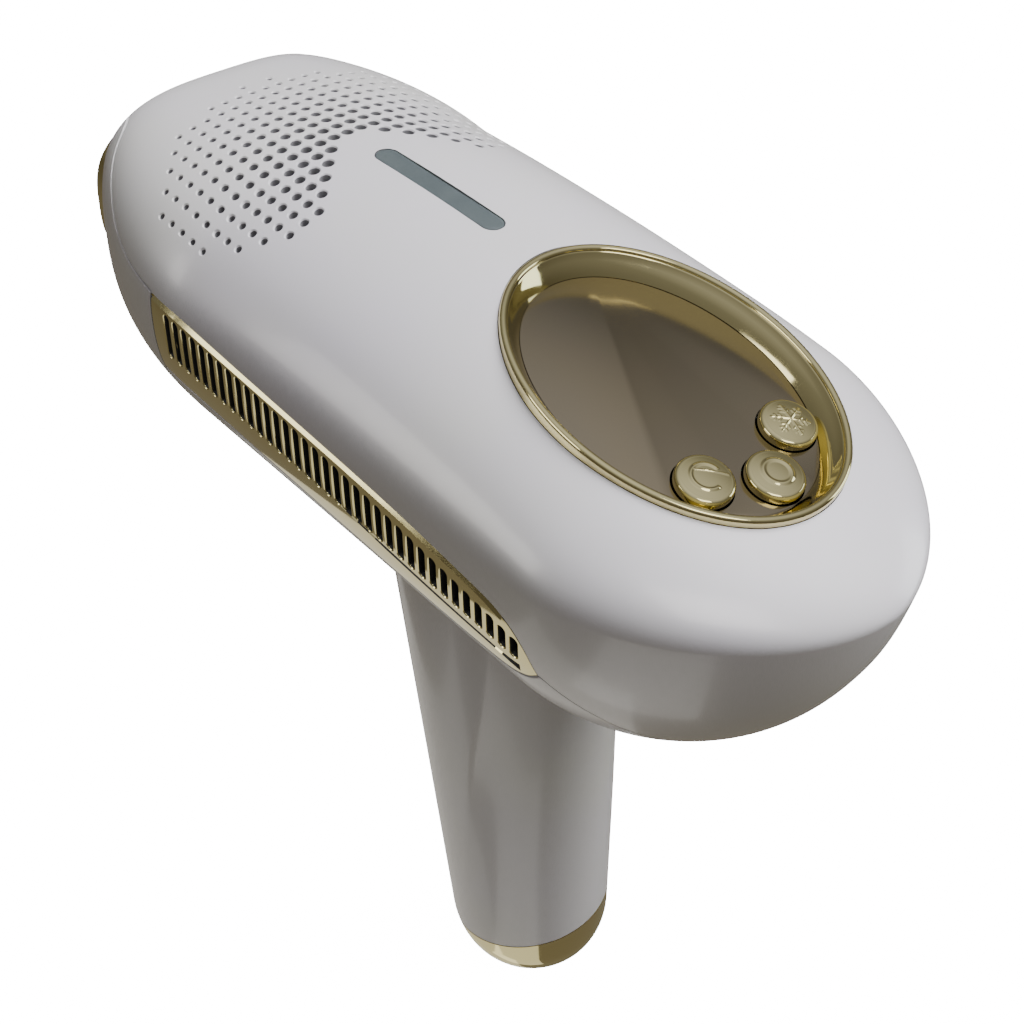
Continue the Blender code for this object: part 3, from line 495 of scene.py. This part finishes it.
class Paint:
    """A Principled material whose colour, roughness and bump can vary with noise."""

    def __init__(self, name, colour, metallic, roughness, **sockets):
        self.material = bpy.data.materials.new(name)
        self.material.use_nodes = True
        self.nodes = self.material.node_tree.nodes
        self.links = self.material.node_tree.links
        self.shader = self.nodes["Principled BSDF"]
        self.shader.inputs["Base Color"].default_value = (*colour, 1.0)
        self.shader.inputs["Metallic"].default_value = metallic
        self.shader.inputs["Roughness"].default_value = roughness
        for socket, value in sockets.items():
            self.shader.inputs[socket.replace("_", " ")].default_value = value
        self.where = self.nodes.new("ShaderNodeTexCoord").outputs["Object"]

    def noise(self, scale, detail=3.0):
        node = self.nodes.new("ShaderNodeTexNoise")
        node.inputs["Scale"].default_value = scale
        node.inputs["Detail"].default_value = detail
        self.links.new(self.where, node.inputs["Vector"])
        return node.outputs["Fac"]

    def vary_roughness(self, scale, low, high):
        ramp = self.nodes.new("ShaderNodeMapRange")
        ramp.inputs["From Min"].default_value = 0.3
        ramp.inputs["From Max"].default_value = 0.7
        ramp.inputs["To Min"].default_value = low
        ramp.inputs["To Max"].default_value = high
        self.links.new(self.noise(scale), ramp.inputs["Value"])
        self.links.new(ramp.outputs["Result"], self.shader.inputs["Roughness"])
        return self

    def vary_colour(self, scale, first, second, detail=2.0):
        ramp = self.nodes.new("ShaderNodeValToRGB")
        ramp.color_ramp.elements[0].position = 0.35
        ramp.color_ramp.elements[0].color = (*first, 1.0)
        ramp.color_ramp.elements[1].position = 0.65
        ramp.color_ramp.elements[1].color = (*second, 1.0)
        self.links.new(self.noise(scale, detail), ramp.inputs["Fac"])
        self.links.new(ramp.outputs["Color"], self.shader.inputs["Base Color"])
        return self

    def bump(self, scale, height, detail=2.0):
        node = self.nodes.new("ShaderNodeBump")
        node.inputs["Strength"].default_value = 1.0
        node.inputs["Distance"].default_value = height * MM
        self.links.new(self.noise(scale, detail), node.inputs["Height"])
        self.links.new(node.outputs["Normal"], self.shader.inputs["Normal"])
        return self


def make_paints():
    paints = {
        "pearl_white": Paint("pearl_lacquer", (0.72, 0.70, 0.71), 0.12, 0.32,
                             Coat_Weight=0.55, Coat_Roughness=0.10)
        .vary_colour(22.0, (0.735, 0.725, 0.71), (0.72, 0.70, 0.745)).vary_roughness(900.0, 0.29, 0.36)
        .bump(4200.0, 0.0012),
        "gold_chrome": Paint("champagne_gold", (0.78, 0.70, 0.36), 1.0, 0.08)
        .vary_colour(30.0, (0.78, 0.70, 0.36), (0.76, 0.68, 0.36)).vary_roughness(260.0, 0.05, 0.10)
        .bump(90.0, 0.004),
        "smoked_glass": Paint("smoked_mirror", (0.33, 0.28, 0.19), 1.0, 0.14)
        .vary_colour(40.0, (0.33, 0.28, 0.19), (0.31, 0.27, 0.195)).vary_roughness(120.0, 0.12, 0.17),
        "amber_glass": Paint("amber_filter", (0.75, 0.40, 0.10), 0.0, 0.06, Transmission_Weight=0.7)
        .vary_roughness(150.0, 0.04, 0.09),
        "clear_glass": Paint("window_crystal", (0.90, 0.93, 0.95), 0.0, 0.03, Transmission_Weight=0.9)
        .vary_roughness(150.0, 0.01, 0.05),
        "light_pipe": Paint("frosted_bar", (0.075, 0.095, 0.10), 0.0, 0.35, Coat_Weight=0.3)
        .vary_colour(120.0, (0.072, 0.090, 0.095), (0.088, 0.108, 0.112)).vary_roughness(1500.0, 0.30, 0.42),
        "circuit_board": Paint("solder_mask", (0.02, 0.18, 0.08), 0.0, 0.4)
        .vary_colour(700.0, (0.015, 0.15, 0.07), (0.03, 0.22, 0.10)).bump(1200.0, 0.02),
        "black_plastic": Paint("black_moulding", (0.025, 0.025, 0.025), 0.0, 0.5)
        .vary_roughness(800.0, 0.42, 0.58).bump(2500.0, 0.008),
        "aluminium": Paint("machined_aluminium", (0.72, 0.73, 0.75), 1.0, 0.35)
        .vary_roughness(900.0, 0.28, 0.42).bump(2200.0, 0.003),
        "polished_aluminium": Paint("bright_aluminium", (0.88, 0.88, 0.90), 1.0, 0.08)
        .vary_roughness(400.0, 0.05, 0.12),
        "ceramic_white": Paint("technical_ceramic", (0.82, 0.81, 0.77), 0.0, 0.6)
        .vary_colour(500.0, (0.80, 0.79, 0.75), (0.84, 0.83, 0.79)).bump(1800.0, 0.006),
        "silicone_grey": Paint("silicone", (0.23, 0.23, 0.24), 0.0, 0.75)
        .vary_roughness(600.0, 0.68, 0.84),
        "screw_steel": Paint("zinc_steel", (0.55, 0.55, 0.57), 1.0, 0.3)
        .vary_roughness(1200.0, 0.24, 0.38),
        "capacitor_sleeve": Paint("capacitor_film", (0.05, 0.07, 0.16), 0.0, 0.35)
        .vary_roughness(500.0, 0.28, 0.42),
        "copper_wire": Paint("enamelled_copper", (0.60, 0.30, 0.15), 1.0, 0.35)
        .vary_colour(1500.0, (0.55, 0.26, 0.12), (0.64, 0.33, 0.17)).bump(1500.0, 0.03),
        "cable_red": Paint("cable_jacket", (0.35, 0.04, 0.03), 0.0, 0.5)
        .vary_roughness(700.0, 0.42, 0.58),
    }
    return {slot: paint.material for slot, paint in paints.items()}


def present(obj, slot, body, *nodes):
    """Gives a finished piece its material and body, and hides the CAD nodes that it stands for."""
    obj.data.materials.clear()
    obj.data.materials.append(PAINTS[slot])
    for face in obj.data.polygons:
        face.material_index = 0
    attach(obj, body)
    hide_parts(*nodes)
    return obj


def paint_shade_in_depths(obj, slot, depth):
    """Gives the faces that lie deeper than depth under the outer surface a second, darker material: painted
    shade in holes, slots and on the inner walls.
    """
    obj.data.materials.append(PAINTS[slot])
    for face in obj.data.polygons:
        if SKIN.tree.find_nearest(face.center)[3] > depth * MM:
            face.material_index = 1
    return obj


# ---------------------------------------------------------------- casings

def region(name, outline):
    """Everything within a side view's outline."""
    return prism(name, outline, "x", -60.0, 60.0)


def seam_bevel(name, line, across_width=0.30, depth=0.28, sides=(1, -1)):
    """A thin four-sided cutter along a seam on each side, which bevels the edges that meet there."""
    sets = []
    for side in sides:
        spots = side_points(line, side)
        inner = side_points(line, side, 1.0)
        rings = []
        for i in range(len(line)):
            along = spots[min(i + 1, len(line) - 1)] - spots[max(i - 1, 0)]
            along /= np.linalg.norm(along)
            inward = (inner[i] - spots[i]) / np.linalg.norm(inner[i] - spots[i])
            across = np.cross(along, inward)
            rings.append([spots[i] - across_width * across, spots[i] + depth * inward,
                          spots[i] + across_width * across, spots[i] - depth * inward])
        sets.append(rings)
    return lofts(name, sets)


def lip_bevel():
    """Bevels the seam under the lip. The line's first points lie ahead of the barrel and are left out."""
    return seam_bevel("lip_bevel", smooth_line(LIP_LINE)[4:])


def counterbores(spots):
    """The wells in the underside through which the casing screws are reached."""
    return [prism("counterbore", superoval(COUNTERBORE_RADIUS, COUNTERBORE_RADIUS, 40, 2.0, spot),
                  "z", 100.0, COUNTERBORE_TOP) for spot in spots]


def grille_cutter():
    """Every hole of the roof grille, countersunk and square to the roof."""
    sets = []
    for column in range(-11, 12):
        first, last = HOLE_ROWS[abs(column)]
        for row in range(first, last + 1):
            x, y = column * HOLE_PITCH_X, HOLE_ROW_Y + HOLE_PITCH_Y * row
            spread = math.hypot(x, y - HOLE_SPOT_Y)
            fall = min(max((spread - HOLE_SPOT_RADIUS) / HOLE_RING_WIDTH, 0.0), 1.0)
            radius = HOLE_RADIUS - HOLE_RADIUS_FALL * fall
            h = 0.1
            normal = Vector((-(roof_height(x + h, y) - roof_height(x - h, y)) / (2 * h),
                             -(roof_height(x, y + h) - roof_height(x, y - h)) / (2 * h), 1.0)).normalized()
            turn = normal.to_track_quat("Z", "Y").to_matrix()
            spot = Vector((x, y, roof_height(x, y)))
            rings = []
            for grow, depth in HOLE_PROFILE:
                circle = superoval(radius + grow, radius + grow, 20)
                rings.append([spot + turn @ Vector((a, b, -depth)) for a, b in circle])
            sets.append(rings)
    return lofts("grille", sets)


def make_upper():
    above = [*smooth_line(LIP_LINE), *(smooth_line(VENT_TOP) + [0.0, FIT]), *smooth_line(REAR_SEAM),
             (60.0, 190.0), (-113.0, 190.0)]
    shell = keep(barrel("upper_casing"), region("above", above))
    oval = superoval(BEZEL_HALF[0] + 0.08, BEZEL_HALF[1] + 0.08, 160)
    hole = loft("display_hole", [display_ring(oval, z) for z in (-9.0, 9.0)])
    bar = prism("bar_hole", stadium(BAR_HALF[0] + 0.15, BAR_HALF[1] + 0.15) + [0.0, BAR_Y], "z", 155.0, 175.0)
    cut(shell, cavity("room"), grille_cutter(), hole, bar, lip_bevel())
    present(SKIN.smooth(clean(shell)), "pearl_white", "casing", "upper_shell")
    # the hole walls and the shell's inside, deeper than the given depth, take the dark grey silicone paint:
    # painted shade, not silicone
    paint_shade_in_depths(shell, "silicone_grey", HOLE_SHADE_DEPTH)


def make_lower():
    belly = smooth_line(VENT_BOTTOM)[::-1] - [0.0, FIT]
    below = [*belly, *(smooth_line(REAR_SEAM) - [0.0, FIT]), (60.0, 90.0), (VENT_FRONT, 90.0)]
    shell = keep(barrel("lower_casing"), region("below", below))
    cut(shell, cavity("room"), seam_bevel("edge_bevel", belly, 0.45, 0.40), *counterbores(REAR_SCREWS))
    present(SKIN.smooth(clean(shell)), "pearl_white", "casing", "lower_shell")


def make_front():
    lip = smooth_line(LIP_LINE) - [0.0, FIT]
    rear = VENT_FRONT - FIT
    outline = [(rear, 90.0), (rear, lip[-1][1]), *lip[::-1][1:], (-113.0, 90.0)]
    cover = keep(barrel("front_panel"), region("front", outline))
    oval = superoval(*WINDOW_HOLE_HALF, 96, 3.0, (0.0, WINDOW_Z))
    window = prism("window_hole", oval, "y", BARREL_FRONT - 5, BARREL_FRONT + 8)
    cut(cover, cavity("room"), window, lip_bevel(), *counterbores(FRONT_SCREWS))
    present(SKIN.smooth(clean(cover)), "pearl_white", "casing", "front_cover")


# ---------------------------------------------------------------- side trims

def side_sheet(name, side):
    """A sheet as thick as the wall, which follows the barrel's side all round the vent."""
    y = np.linspace(VENT_FRONT - 2.0, 16.0, 150)
    z = np.linspace(123.0, 146.5, 48)
    grid_y, grid_z = np.meshgrid(y, z, indexing="ij")
    flat = np.stack([grid_y.ravel(), grid_z.ravel()], 1)
    points = np.vstack([side_points(flat, side), side_points(flat, side, WALL)])
    total = len(flat)
    faces = []
    for i in range(len(y) - 1):
        for j in range(len(z) - 1):
            a, b = i * len(z) + j, (i + 1) * len(z) + j
            faces += [(a, b, b + 1, a + 1), (total + a, total + a + 1, total + b + 1, total + b)]
    border = [i * len(z) for i in range(len(y))] + [(len(y) - 1) * len(z) + j for j in range(1, len(z))]
    border += [i * len(z) + len(z) - 1 for i in range(len(y) - 2, -1, -1)] + list(range(len(z) - 2, 0, -1))
    for a, b in zip(border, border[1:] + border[:1]):
        faces.append((a, b, total + b, total + a))
    return mesh_object(name, points, faces)


def groove_cutter(side):
    """The groove above the strip's lower band, which opens out just before the strip's rear tip."""
    line = smooth_line(GROOVE_LINE)
    spots, inner = side_points(line, side), side_points(line, side, 1.0)
    rings = []
    for i in range(len(line)):
        share = i / (len(line) - 1)
        wide = 0.18 + 0.30 * min(share * 4.0, 1.0) + 0.55 * max(share - 0.88, 0.0) / 0.12
        inward = (inner[i] - spots[i]) / np.linalg.norm(inner[i] - spots[i])
        up = np.array([0.0, 0.0, 1.0]) - inward * inward[2]
        up /= np.linalg.norm(up)
        rings.append([spots[i] - wide * up, spots[i] + 0.75 * inward,
                      spots[i] + wide * up, spots[i] - 0.5 * inward])
    return loft("groove", rings)


def slot_cutter(side):
    """The row of round-ended slots, each with a bevelled rim."""
    slots = []
    for i in range(SLOT_COUNT):
        share = i / (SLOT_COUNT - 1)
        low = SLOT_LOW - SLOT_LOW_FALL * share
        high = SLOT_HIGH - SLOT_HIGH_FALL * share ** SLOT_HIGH_CURVE
        middle = [SLOT_FIRST + SLOT_PITCH * i, 0.5 * (low + high)]
        rings = []
        for grow, depth in SLOT_PROFILE:
            ring = stadium(SLOT_HALF_WIDTH + grow, 0.5 * (high - low) + grow, 28)
            rings.append(side_points(ring + middle, side, depth))
        slots.append(rings)
    return lofts("slots", slots)


def make_trim(name, side, node):
    """A gold strip with a groove, a row of slots and a bevelled top edge; side is +1 or -1."""
    outline = np.vstack([smooth_line(VENT_TOP, 0.8), smooth_line(VENT_BOTTOM, 0.8)[1:]])
    trim = side_sheet(name, side)
    reach = sorted((side * 15.0, side * 60.0))
    keep(trim, prism("strip", outline, "x", *reach))
    # the groove has to come first: cut after the slots, it makes the Boolean lose the whole strip
    cut(trim, groove_cutter(side), slot_cutter(side))
    # the slot walls deeper than the given depth take the black plastic paint: painted shade inside the slots
    paint_shade_in_depths(present(trim, "gold_chrome", "casing", node), "black_plastic", SLOT_SHADE_DEPTH)
    # the wide bevel along the top edge comes last, so that it stays gold
    cut(trim, seam_bevel("top_bevel", smooth_line(VENT_TOP[:-2]), 0.95, 0.55, (side,)))
    SKIN.smooth(clean(trim))


# ---------------------------------------------------------------- display

def make_bezel():
    """A rounded bright rim, then a wide slanted wall down to the panel."""
    a, b = BEZEL_HALF
    rim = 0.62
    profile = [(0.0, BEZEL_BOTTOM), (0.0, -0.75)]
    for i in range(9):
        angle = math.pi * i / 8
        profile.append((-rim + rim * math.cos(angle), -0.42 + rim * math.sin(angle)))
    profile += [(-1.30, -0.46), (-1.42, -0.62)]
    rise = -PANEL_TOP - 0.7
    for i in range(1, 9):
        share = i / 8
        profile.append((-1.42 - 2.08 * share - 0.12 * math.sin(math.pi * share), -0.7 - rise * share))
    profile.append((-3.50, BEZEL_BOTTOM))
    rings = [display_ring(superoval(a + d, b + d, 192), z) for d, z in profile]
    bezel = loft("display_rim", rings, closed=True)
    present(clean(bezel), "gold_chrome", "casing", "display_bezel")


def make_panel():
    rings = []
    for d, z in ((0.0, -1.6), (0.0, -0.22), (-0.08, -0.06), (-0.22, 0.0)):
        oval = superoval(PANEL_HALF[0] + 0.03 + d, PANEL_HALF[1] + 0.03 + d, 160)
        rings.append(display_ring(oval, PANEL_TOP + z))
    panel = loft("display_lens", rings)
    for spot in KEY_SPOTS.values():
        circle = superoval(KEY_RADIUS + 0.22, KEY_RADIUS + 0.22, 72, 2.0, spot)
        cut(panel, loft("key_hole", [display_ring(circle, z) for z in (-9.0, 2.0)]))
    present(clean(panel), "smoked_glass", "casing", "display_panel")


def segment_gap(p, a, b):
    """The distance of each point from the straight line between a and b."""
    a, b = np.array(a), np.array(b)
    along = np.clip(((p - a) @ (b - a)) / ((b - a) @ (b - a)), 0.0, 1.0)
    return np.linalg.norm(p - a - along[:, None] * (b - a), axis=1)


def ridge(gap, half_width, soft=0.16):
    """1 on a line and 0 beside it, with soft flanks."""
    u = np.clip((half_width + soft - gap) / (2 * soft), 0.0, 1.0)
    return u * u * (3 - 2 * u)


def snowflake(p):
    """Six arms, each with two pairs of side branches."""
    relief = np.zeros(len(p))
    for i in range(6):
        angle = math.radians(60 * i + 15)
        out = np.array([math.cos(angle), math.sin(angle)])
        relief = np.maximum(relief, ridge(segment_gap(p, (0, 0), 2.75 * out), 0.10, 0.20))
        for start, length in ((1.25, 0.75), (2.0, 0.6)):
            for lean in (-55, 55):
                turn = angle + math.radians(lean)
                tip = start * out + length * np.array([math.cos(turn), math.sin(turn)])
                relief = np.maximum(relief, ridge(segment_gap(p, start * out, tip), 0.06, 0.18))
    return relief


def ring_icon(p):
    """A raised ring around a shallow dish."""
    r = np.linalg.norm(p, axis=1)
    return np.maximum(ridge(np.abs(r - 2.05), 0.26, 0.3), -0.5 * ridge(r, 1.3, 0.5))


def power_icon(p):
    """An arc that is open on one side, and a straight line across it."""
    toward = np.array([-0.72, 0.69])
    aside = np.array([-0.66, -0.70])
    r = np.linalg.norm(p, axis=1)
    facing = (p @ toward) / np.maximum(r, 1e-6)
    arc = ridge(np.abs(r - 2.2), 0.2, 0.25) * np.clip((0.78 - facing) / 0.12, 0.0, 1.0)
    return np.maximum(arc, ridge(segment_gap(p, aside - 1.9 * toward, aside + 3.2 * toward), 0.05, 0.17))


def make_key(name, spot, icon, node, body):
    """A domed key with its icon standing up from the dome."""
    r = KEY_RADIUS
    rim_level, rim_width, rim_rise = KEY_TOP - 0.95, 0.75, 0.72
    count = 144
    rings = [(0.34 * r, -6.6), (0.34 * r, -5.4), (r, -5.2), (r, rim_level)]
    for i in range(1, 11):
        angle = 0.5 * math.pi * i / 10
        rings.append((r - rim_width * (1 - math.cos(angle)), rim_level + rim_rise * math.sin(angle)))
    profile = [np.insert(superoval(a, a, count), 2, z, axis=1) for a, z in rings]
    top = r - rim_width
    for i in range(1, 40):
        radius = top * (1 - i / 40)
        ring = superoval(radius, radius, count)
        height = KEY_TOP - 0.23 + 0.33 * (1 - (radius / top) ** 2) + 0.20 * icon(ring)
        profile.append(np.column_stack([ring, height]))
    local = [ring + np.array([spot[0], spot[1], 0.0]) for ring in profile]
    key = loft(name, [on_display(ring) for ring in local])
    clean(key).data.set_sharp_from_angle(angle=math.radians(60))
    present(key, "gold_chrome", body, node)


# ---------------------------------------------------------------- light bar and window

def make_bar():
    rings = []
    for shrink, fall in BAR_PROFILE:
        outline = stadium(BAR_HALF[0] - shrink, BAR_HALF[1] - shrink, 96)
        x, y = outline[:, 0], outline[:, 1] + BAR_Y
        rings.append(np.column_stack([x, y, roof_height(x, y) - fall]))
    present(clean(loft("light_bar", rings)), "light_pipe", "casing", "indicator_bar")


def make_window():
    a, b = FRAME_HALF
    back = BARREL_FRONT - FIT
    profile = [(a, b, back), (a, b, WINDOW_FACE + FRAME_ROUNDING)]
    for i in range(1, 7):
        angle = 0.5 * math.pi * i / 6
        shrink = FRAME_ROUNDING * (1 - math.cos(angle))
        profile.append((a - shrink, b - shrink, WINDOW_FACE + FRAME_ROUNDING * (1 - math.sin(angle))))
    profile += [(20.4, 10.9, WINDOW_FACE), (19.8, 10.3, WINDOW_FACE + 0.12), (19.4, 9.9, WINDOW_FACE + 0.6),
                (19.3, 9.8, WINDOW_FACE + 0.8), (19.3, 9.8, FRAME_REAR), (*TUBE_HALF, FRAME_REAR),
                (*TUBE_HALF, back)]
    rings = [np.insert(superoval(p, q, 144, 3.0, (0.0, WINDOW_Z)), 1, y, axis=1) for p, q, y in profile]
    present(clean(loft("window_ring", rings, closed=True)), "gold_chrome", "casing", "window_frame")
    rings = []
    for shrink, y in ((0.0, 3.4), (0.0, 1.15), (0.08, 0.98), (0.25, 0.9)):
        outline = superoval(GLASS_HALF[0] - shrink, GLASS_HALF[1] - shrink, 120, 3.0, (0.0, WINDOW_Z))
        rings.append(np.insert(outline, 1, WINDOW_FACE + y, axis=1))
    present(clean(loft("window_lens", rings)), "clear_glass", "casing", "window_glass")


# ---------------------------------------------------------------- handle

def trigger_place():
    """Turns points from the trigger's own plane to the handle's front face."""
    widening = TOP_HALF_DEPTH - FOOT_HALF_DEPTH
    front_y = HANDLE_RAKE * TRIGGER_Z - FOOT_HALF_DEPTH - widening * TRIGGER_Z / HANDLE_TOP
    lean = math.atan2(widening - HANDLE_RAKE * HANDLE_TOP, HANDLE_TOP)
    turn = Matrix.Rotation(math.radians(90.0) + lean, 4, "X")
    return Matrix.Translation(Vector((0.0, front_y, TRIGGER_Z))) @ turn


def trigger_ring(grow, level):
    """The trigger's outline, grown and raised from the handle's front face."""
    place = trigger_place()
    outline = stadium(TRIGGER_HALF[0] + grow, TRIGGER_HALF[1] + grow, 80)
    return [place @ Vector((x, y, level)) for x, y in outline]


def make_handle():
    """The grip and its end cap, cut from one shape along the slanted seam."""
    grip = handle("grip", dished=True)
    skin = Surface(grip)
    cut(grip, handle("bore", WALL, low=3.0, high=150.0, count=64))
    keep(grip, seam_side("above_seam", 0.5 * FIT, True))
    barrel_room = loft("barrel_room", [barrel_ring(y, -FIT, count=88) for y in np.linspace(-80.0, 40.0, 60)])
    cut(grip, barrel_room, loft("trigger_slot", [trigger_ring(0.25, -9.0), trigger_ring(0.25, 6.0)]))
    present(skin.smooth(clean(grip)), "pearl_white", "casing", "handle_shell")

    cap = handle("foot_cap", high=40.0, dished=True)
    cut(cap, handle("pocket", WALL, low=3.0, high=60.0, count=64))
    keep(cap, seam_side("below_seam", -0.5 * FIT, False))
    socket = superoval(SOCKET_HOLE_RADIUS, SOCKET_HOLE_RADIUS, 64, 2.0, (0.0, SOCKET_Y))
    cut(cap, prism("socket_hole", socket, "z", -5.0, 20.0))
    present(skin.smooth(clean(cap)), "gold_chrome", "casing", "handle_end_cap")


def make_trigger():
    """A gold pad with a rounded edge and a slightly domed face."""
    rings = [trigger_ring(0.0, -5.6), trigger_ring(0.0, -0.55)]
    for i in range(1, 9):
        angle = 0.5 * math.pi * i / 8
        rings.append(trigger_ring(-0.9 * (1 - math.cos(angle)), -0.55 + 0.75 * math.sin(angle)))
    for i in range(1, 12):
        share = i / 12
        rings.append(trigger_ring(-0.9 - 4.9 * share, 0.20 + 0.25 * math.sin(0.5 * math.pi * share)))
    present(clean(loft("trigger_pad", rings)), "gold_chrome", "trigger", "flash_trigger")


# ---------------------------------------------------------------- studio

def stage_material(name, colour, glow):
    material = bpy.data.materials.new(name)
    material.use_nodes = True
    shader = material.node_tree.nodes["Principled BSDF"]
    shader.inputs["Base Color"].default_value = (*colour, 1.0)
    shader.inputs["Roughness"].default_value = 0.9
    shader.inputs["Specular IOR Level"].default_value = 0.1
    shader.inputs["Emission Color"].default_value = (1.0, 1.0, 1.0, 1.0)
    shader.inputs["Emission Strength"].default_value = glow
    return material


def make_floor():
    """A plain white disc, 5.2 m across, just under the foot."""
    rings = [np.insert(superoval(r, r, 96), 2, -0.05, axis=1) for r in (2600.0, 10.0)]
    points = np.concatenate(rings)
    faces = [(j, (j + 1) % 96, 96 + (j + 1) % 96, 96 + j) for j in range(96)] + [tuple(range(96, 192))]
    floor = mesh_object("floor", points, faces)
    floor.data.materials.append(stage_material("pale_floor", (0.9, 0.9, 0.9), 16.0))
    # a light table: it is seen as plain white, and the sky below the horizon lights the object instead
    floor.visible_diffuse = False
    floor.visible_glossy = False
    floor.visible_shadow = False


def area_light(name, spot, aim, size, power, colour=(1.0, 1.0, 1.0)):
    data = bpy.data.lights.new(name, "AREA")
    data.shape = "RECTANGLE"
    data.size, data.size_y = size
    data.energy = power
    data.color = colour
    light = bpy.data.objects.new(name, data)
    light.location = spot
    light.rotation_euler = (Vector(aim) - Vector(spot)).to_track_quat("-Z", "Y").to_euler()
    bpy.context.scene.collection.objects.link(light)
    return light


def reflector_card(name, spot, size, power):
    """A soft light that only smooth surfaces reflect."""
    card = area_light(name, spot, (0.0, 0.0, 0.08), size, power, (1.0, 0.98, 0.92))
    card.visible_diffuse = False


def make_sky(stops):
    """Soft light from all round, given as (height of the direction from -1 to 1, colour) pairs."""
    world = bpy.data.worlds.new("studio")
    world.use_nodes = True
    nodes, links = world.node_tree.nodes, world.node_tree.links
    split = nodes.new("ShaderNodeSeparateXYZ")
    lift = nodes.new("ShaderNodeMapRange")
    lift.inputs["From Min"].default_value = -1.0
    ramp = nodes.new("ShaderNodeValToRGB")
    while len(ramp.color_ramp.elements) < len(stops):
        ramp.color_ramp.elements.new(1.0)
    for element, (height, colour) in zip(ramp.color_ramp.elements, stops):
        element.position = 0.5 + 0.5 * height
        element.color = (*colour, 1.0)
    links.new(nodes.new("ShaderNodeTexCoord").outputs["Generated"], split.inputs["Vector"])
    links.new(split.outputs["Z"], lift.inputs["Value"])
    links.new(lift.outputs["Result"], ramp.inputs["Fac"])
    links.new(ramp.outputs["Color"], nodes["Background"].inputs["Color"])
    bpy.context.scene.world = world


def make_studio():
    make_floor()
    middle = (0.0, -0.02, 0.13)
    # broad light from above on the far side; the cards below add what only smooth surfaces reflect
    key = area_light("key", (-0.50, 0.12, 1.10), middle, (0.9, 0.8), 27.0, (0.99, 0.985, 1.0))
    key.visible_glossy = False
    area_light("left_edge", (-0.74, 0.42, 0.27), middle, (0.35, 0.5), 1.5, (0.93, 1.0, 1.0))
    reflector_card("card_behind", (0.22, 0.48, 0.83), (0.45, 0.35), 1.6)
    reflector_card("card_side", (0.72, -0.39, 0.34), (0.45, 0.35), 1.5)
    reflector_card("card_below", (0.10, -0.16, -0.60), (0.8, 0.5), 0.75)
    reflector_card("card_under", (0.29, 0.26, -0.55), (0.4, 0.4), 0.35)
    make_sky([(-1.0, (0.22, 0.20, 0.155)), (-0.70, (0.185, 0.165, 0.13)), (-0.30, (0.115, 0.103, 0.080)),
              (0.0, (0.095, 0.086, 0.068)), (0.5, (0.22, 0.215, 0.205)), (1.0, (0.72, 0.72, 0.77))])


def make_camera():
    data = bpy.data.cameras.new("view")
    data.lens = 46.27
    data.sensor_width = 36.0
    data.shift_x = -0.0080
    data.shift_y = 0.0020
    camera = bpy.data.objects.new("view", data)
    right, up, back = (-0.7157, 0.6903, 0.1059), (-0.4510, -0.5726, 0.6846), (0.5332, 0.4422, 0.7212)
    turn = Matrix((right, up, back)).transposed().to_4x4()
    camera.matrix_world = Matrix.Translation((0.12095, 0.07912, 0.27669)) @ turn
    bpy.context.scene.collection.objects.link(camera)
    bpy.context.scene.camera = camera


# ---------------------------------------------------------------- everything

PAINTS = make_paints()
uncut = barrel("uncut")
SKIN = Surface(uncut)
bpy.data.objects.remove(uncut, do_unlink=True)

make_upper()
make_lower()
make_front()
make_trim("right_trim", 1, "vent_trim_right")
make_trim("left_trim", -1, "vent_trim_left")
make_bezel()
make_panel()
make_key("cooling_key_cap", KEY_SPOTS["cooling"], snowflake, "cooling_button", "cooling_key")
make_key("mode_key_cap", KEY_SPOTS["mode"], ring_icon, "mode_button", "mode_key")
make_key("power_key_cap", KEY_SPOTS["power"], power_icon, "power_button", "power_key")
make_bar()
make_window()
make_handle()
make_trigger()

SLOT_OF = {part["node"]: part["material_slot"] for part in frame["record"]["subparts"]}
for node, obj in frame["nodes"].items():
    obj.data.materials.clear()
    obj.data.materials.append(PAINTS[SLOT_OF[node]])

make_studio()
make_camera()
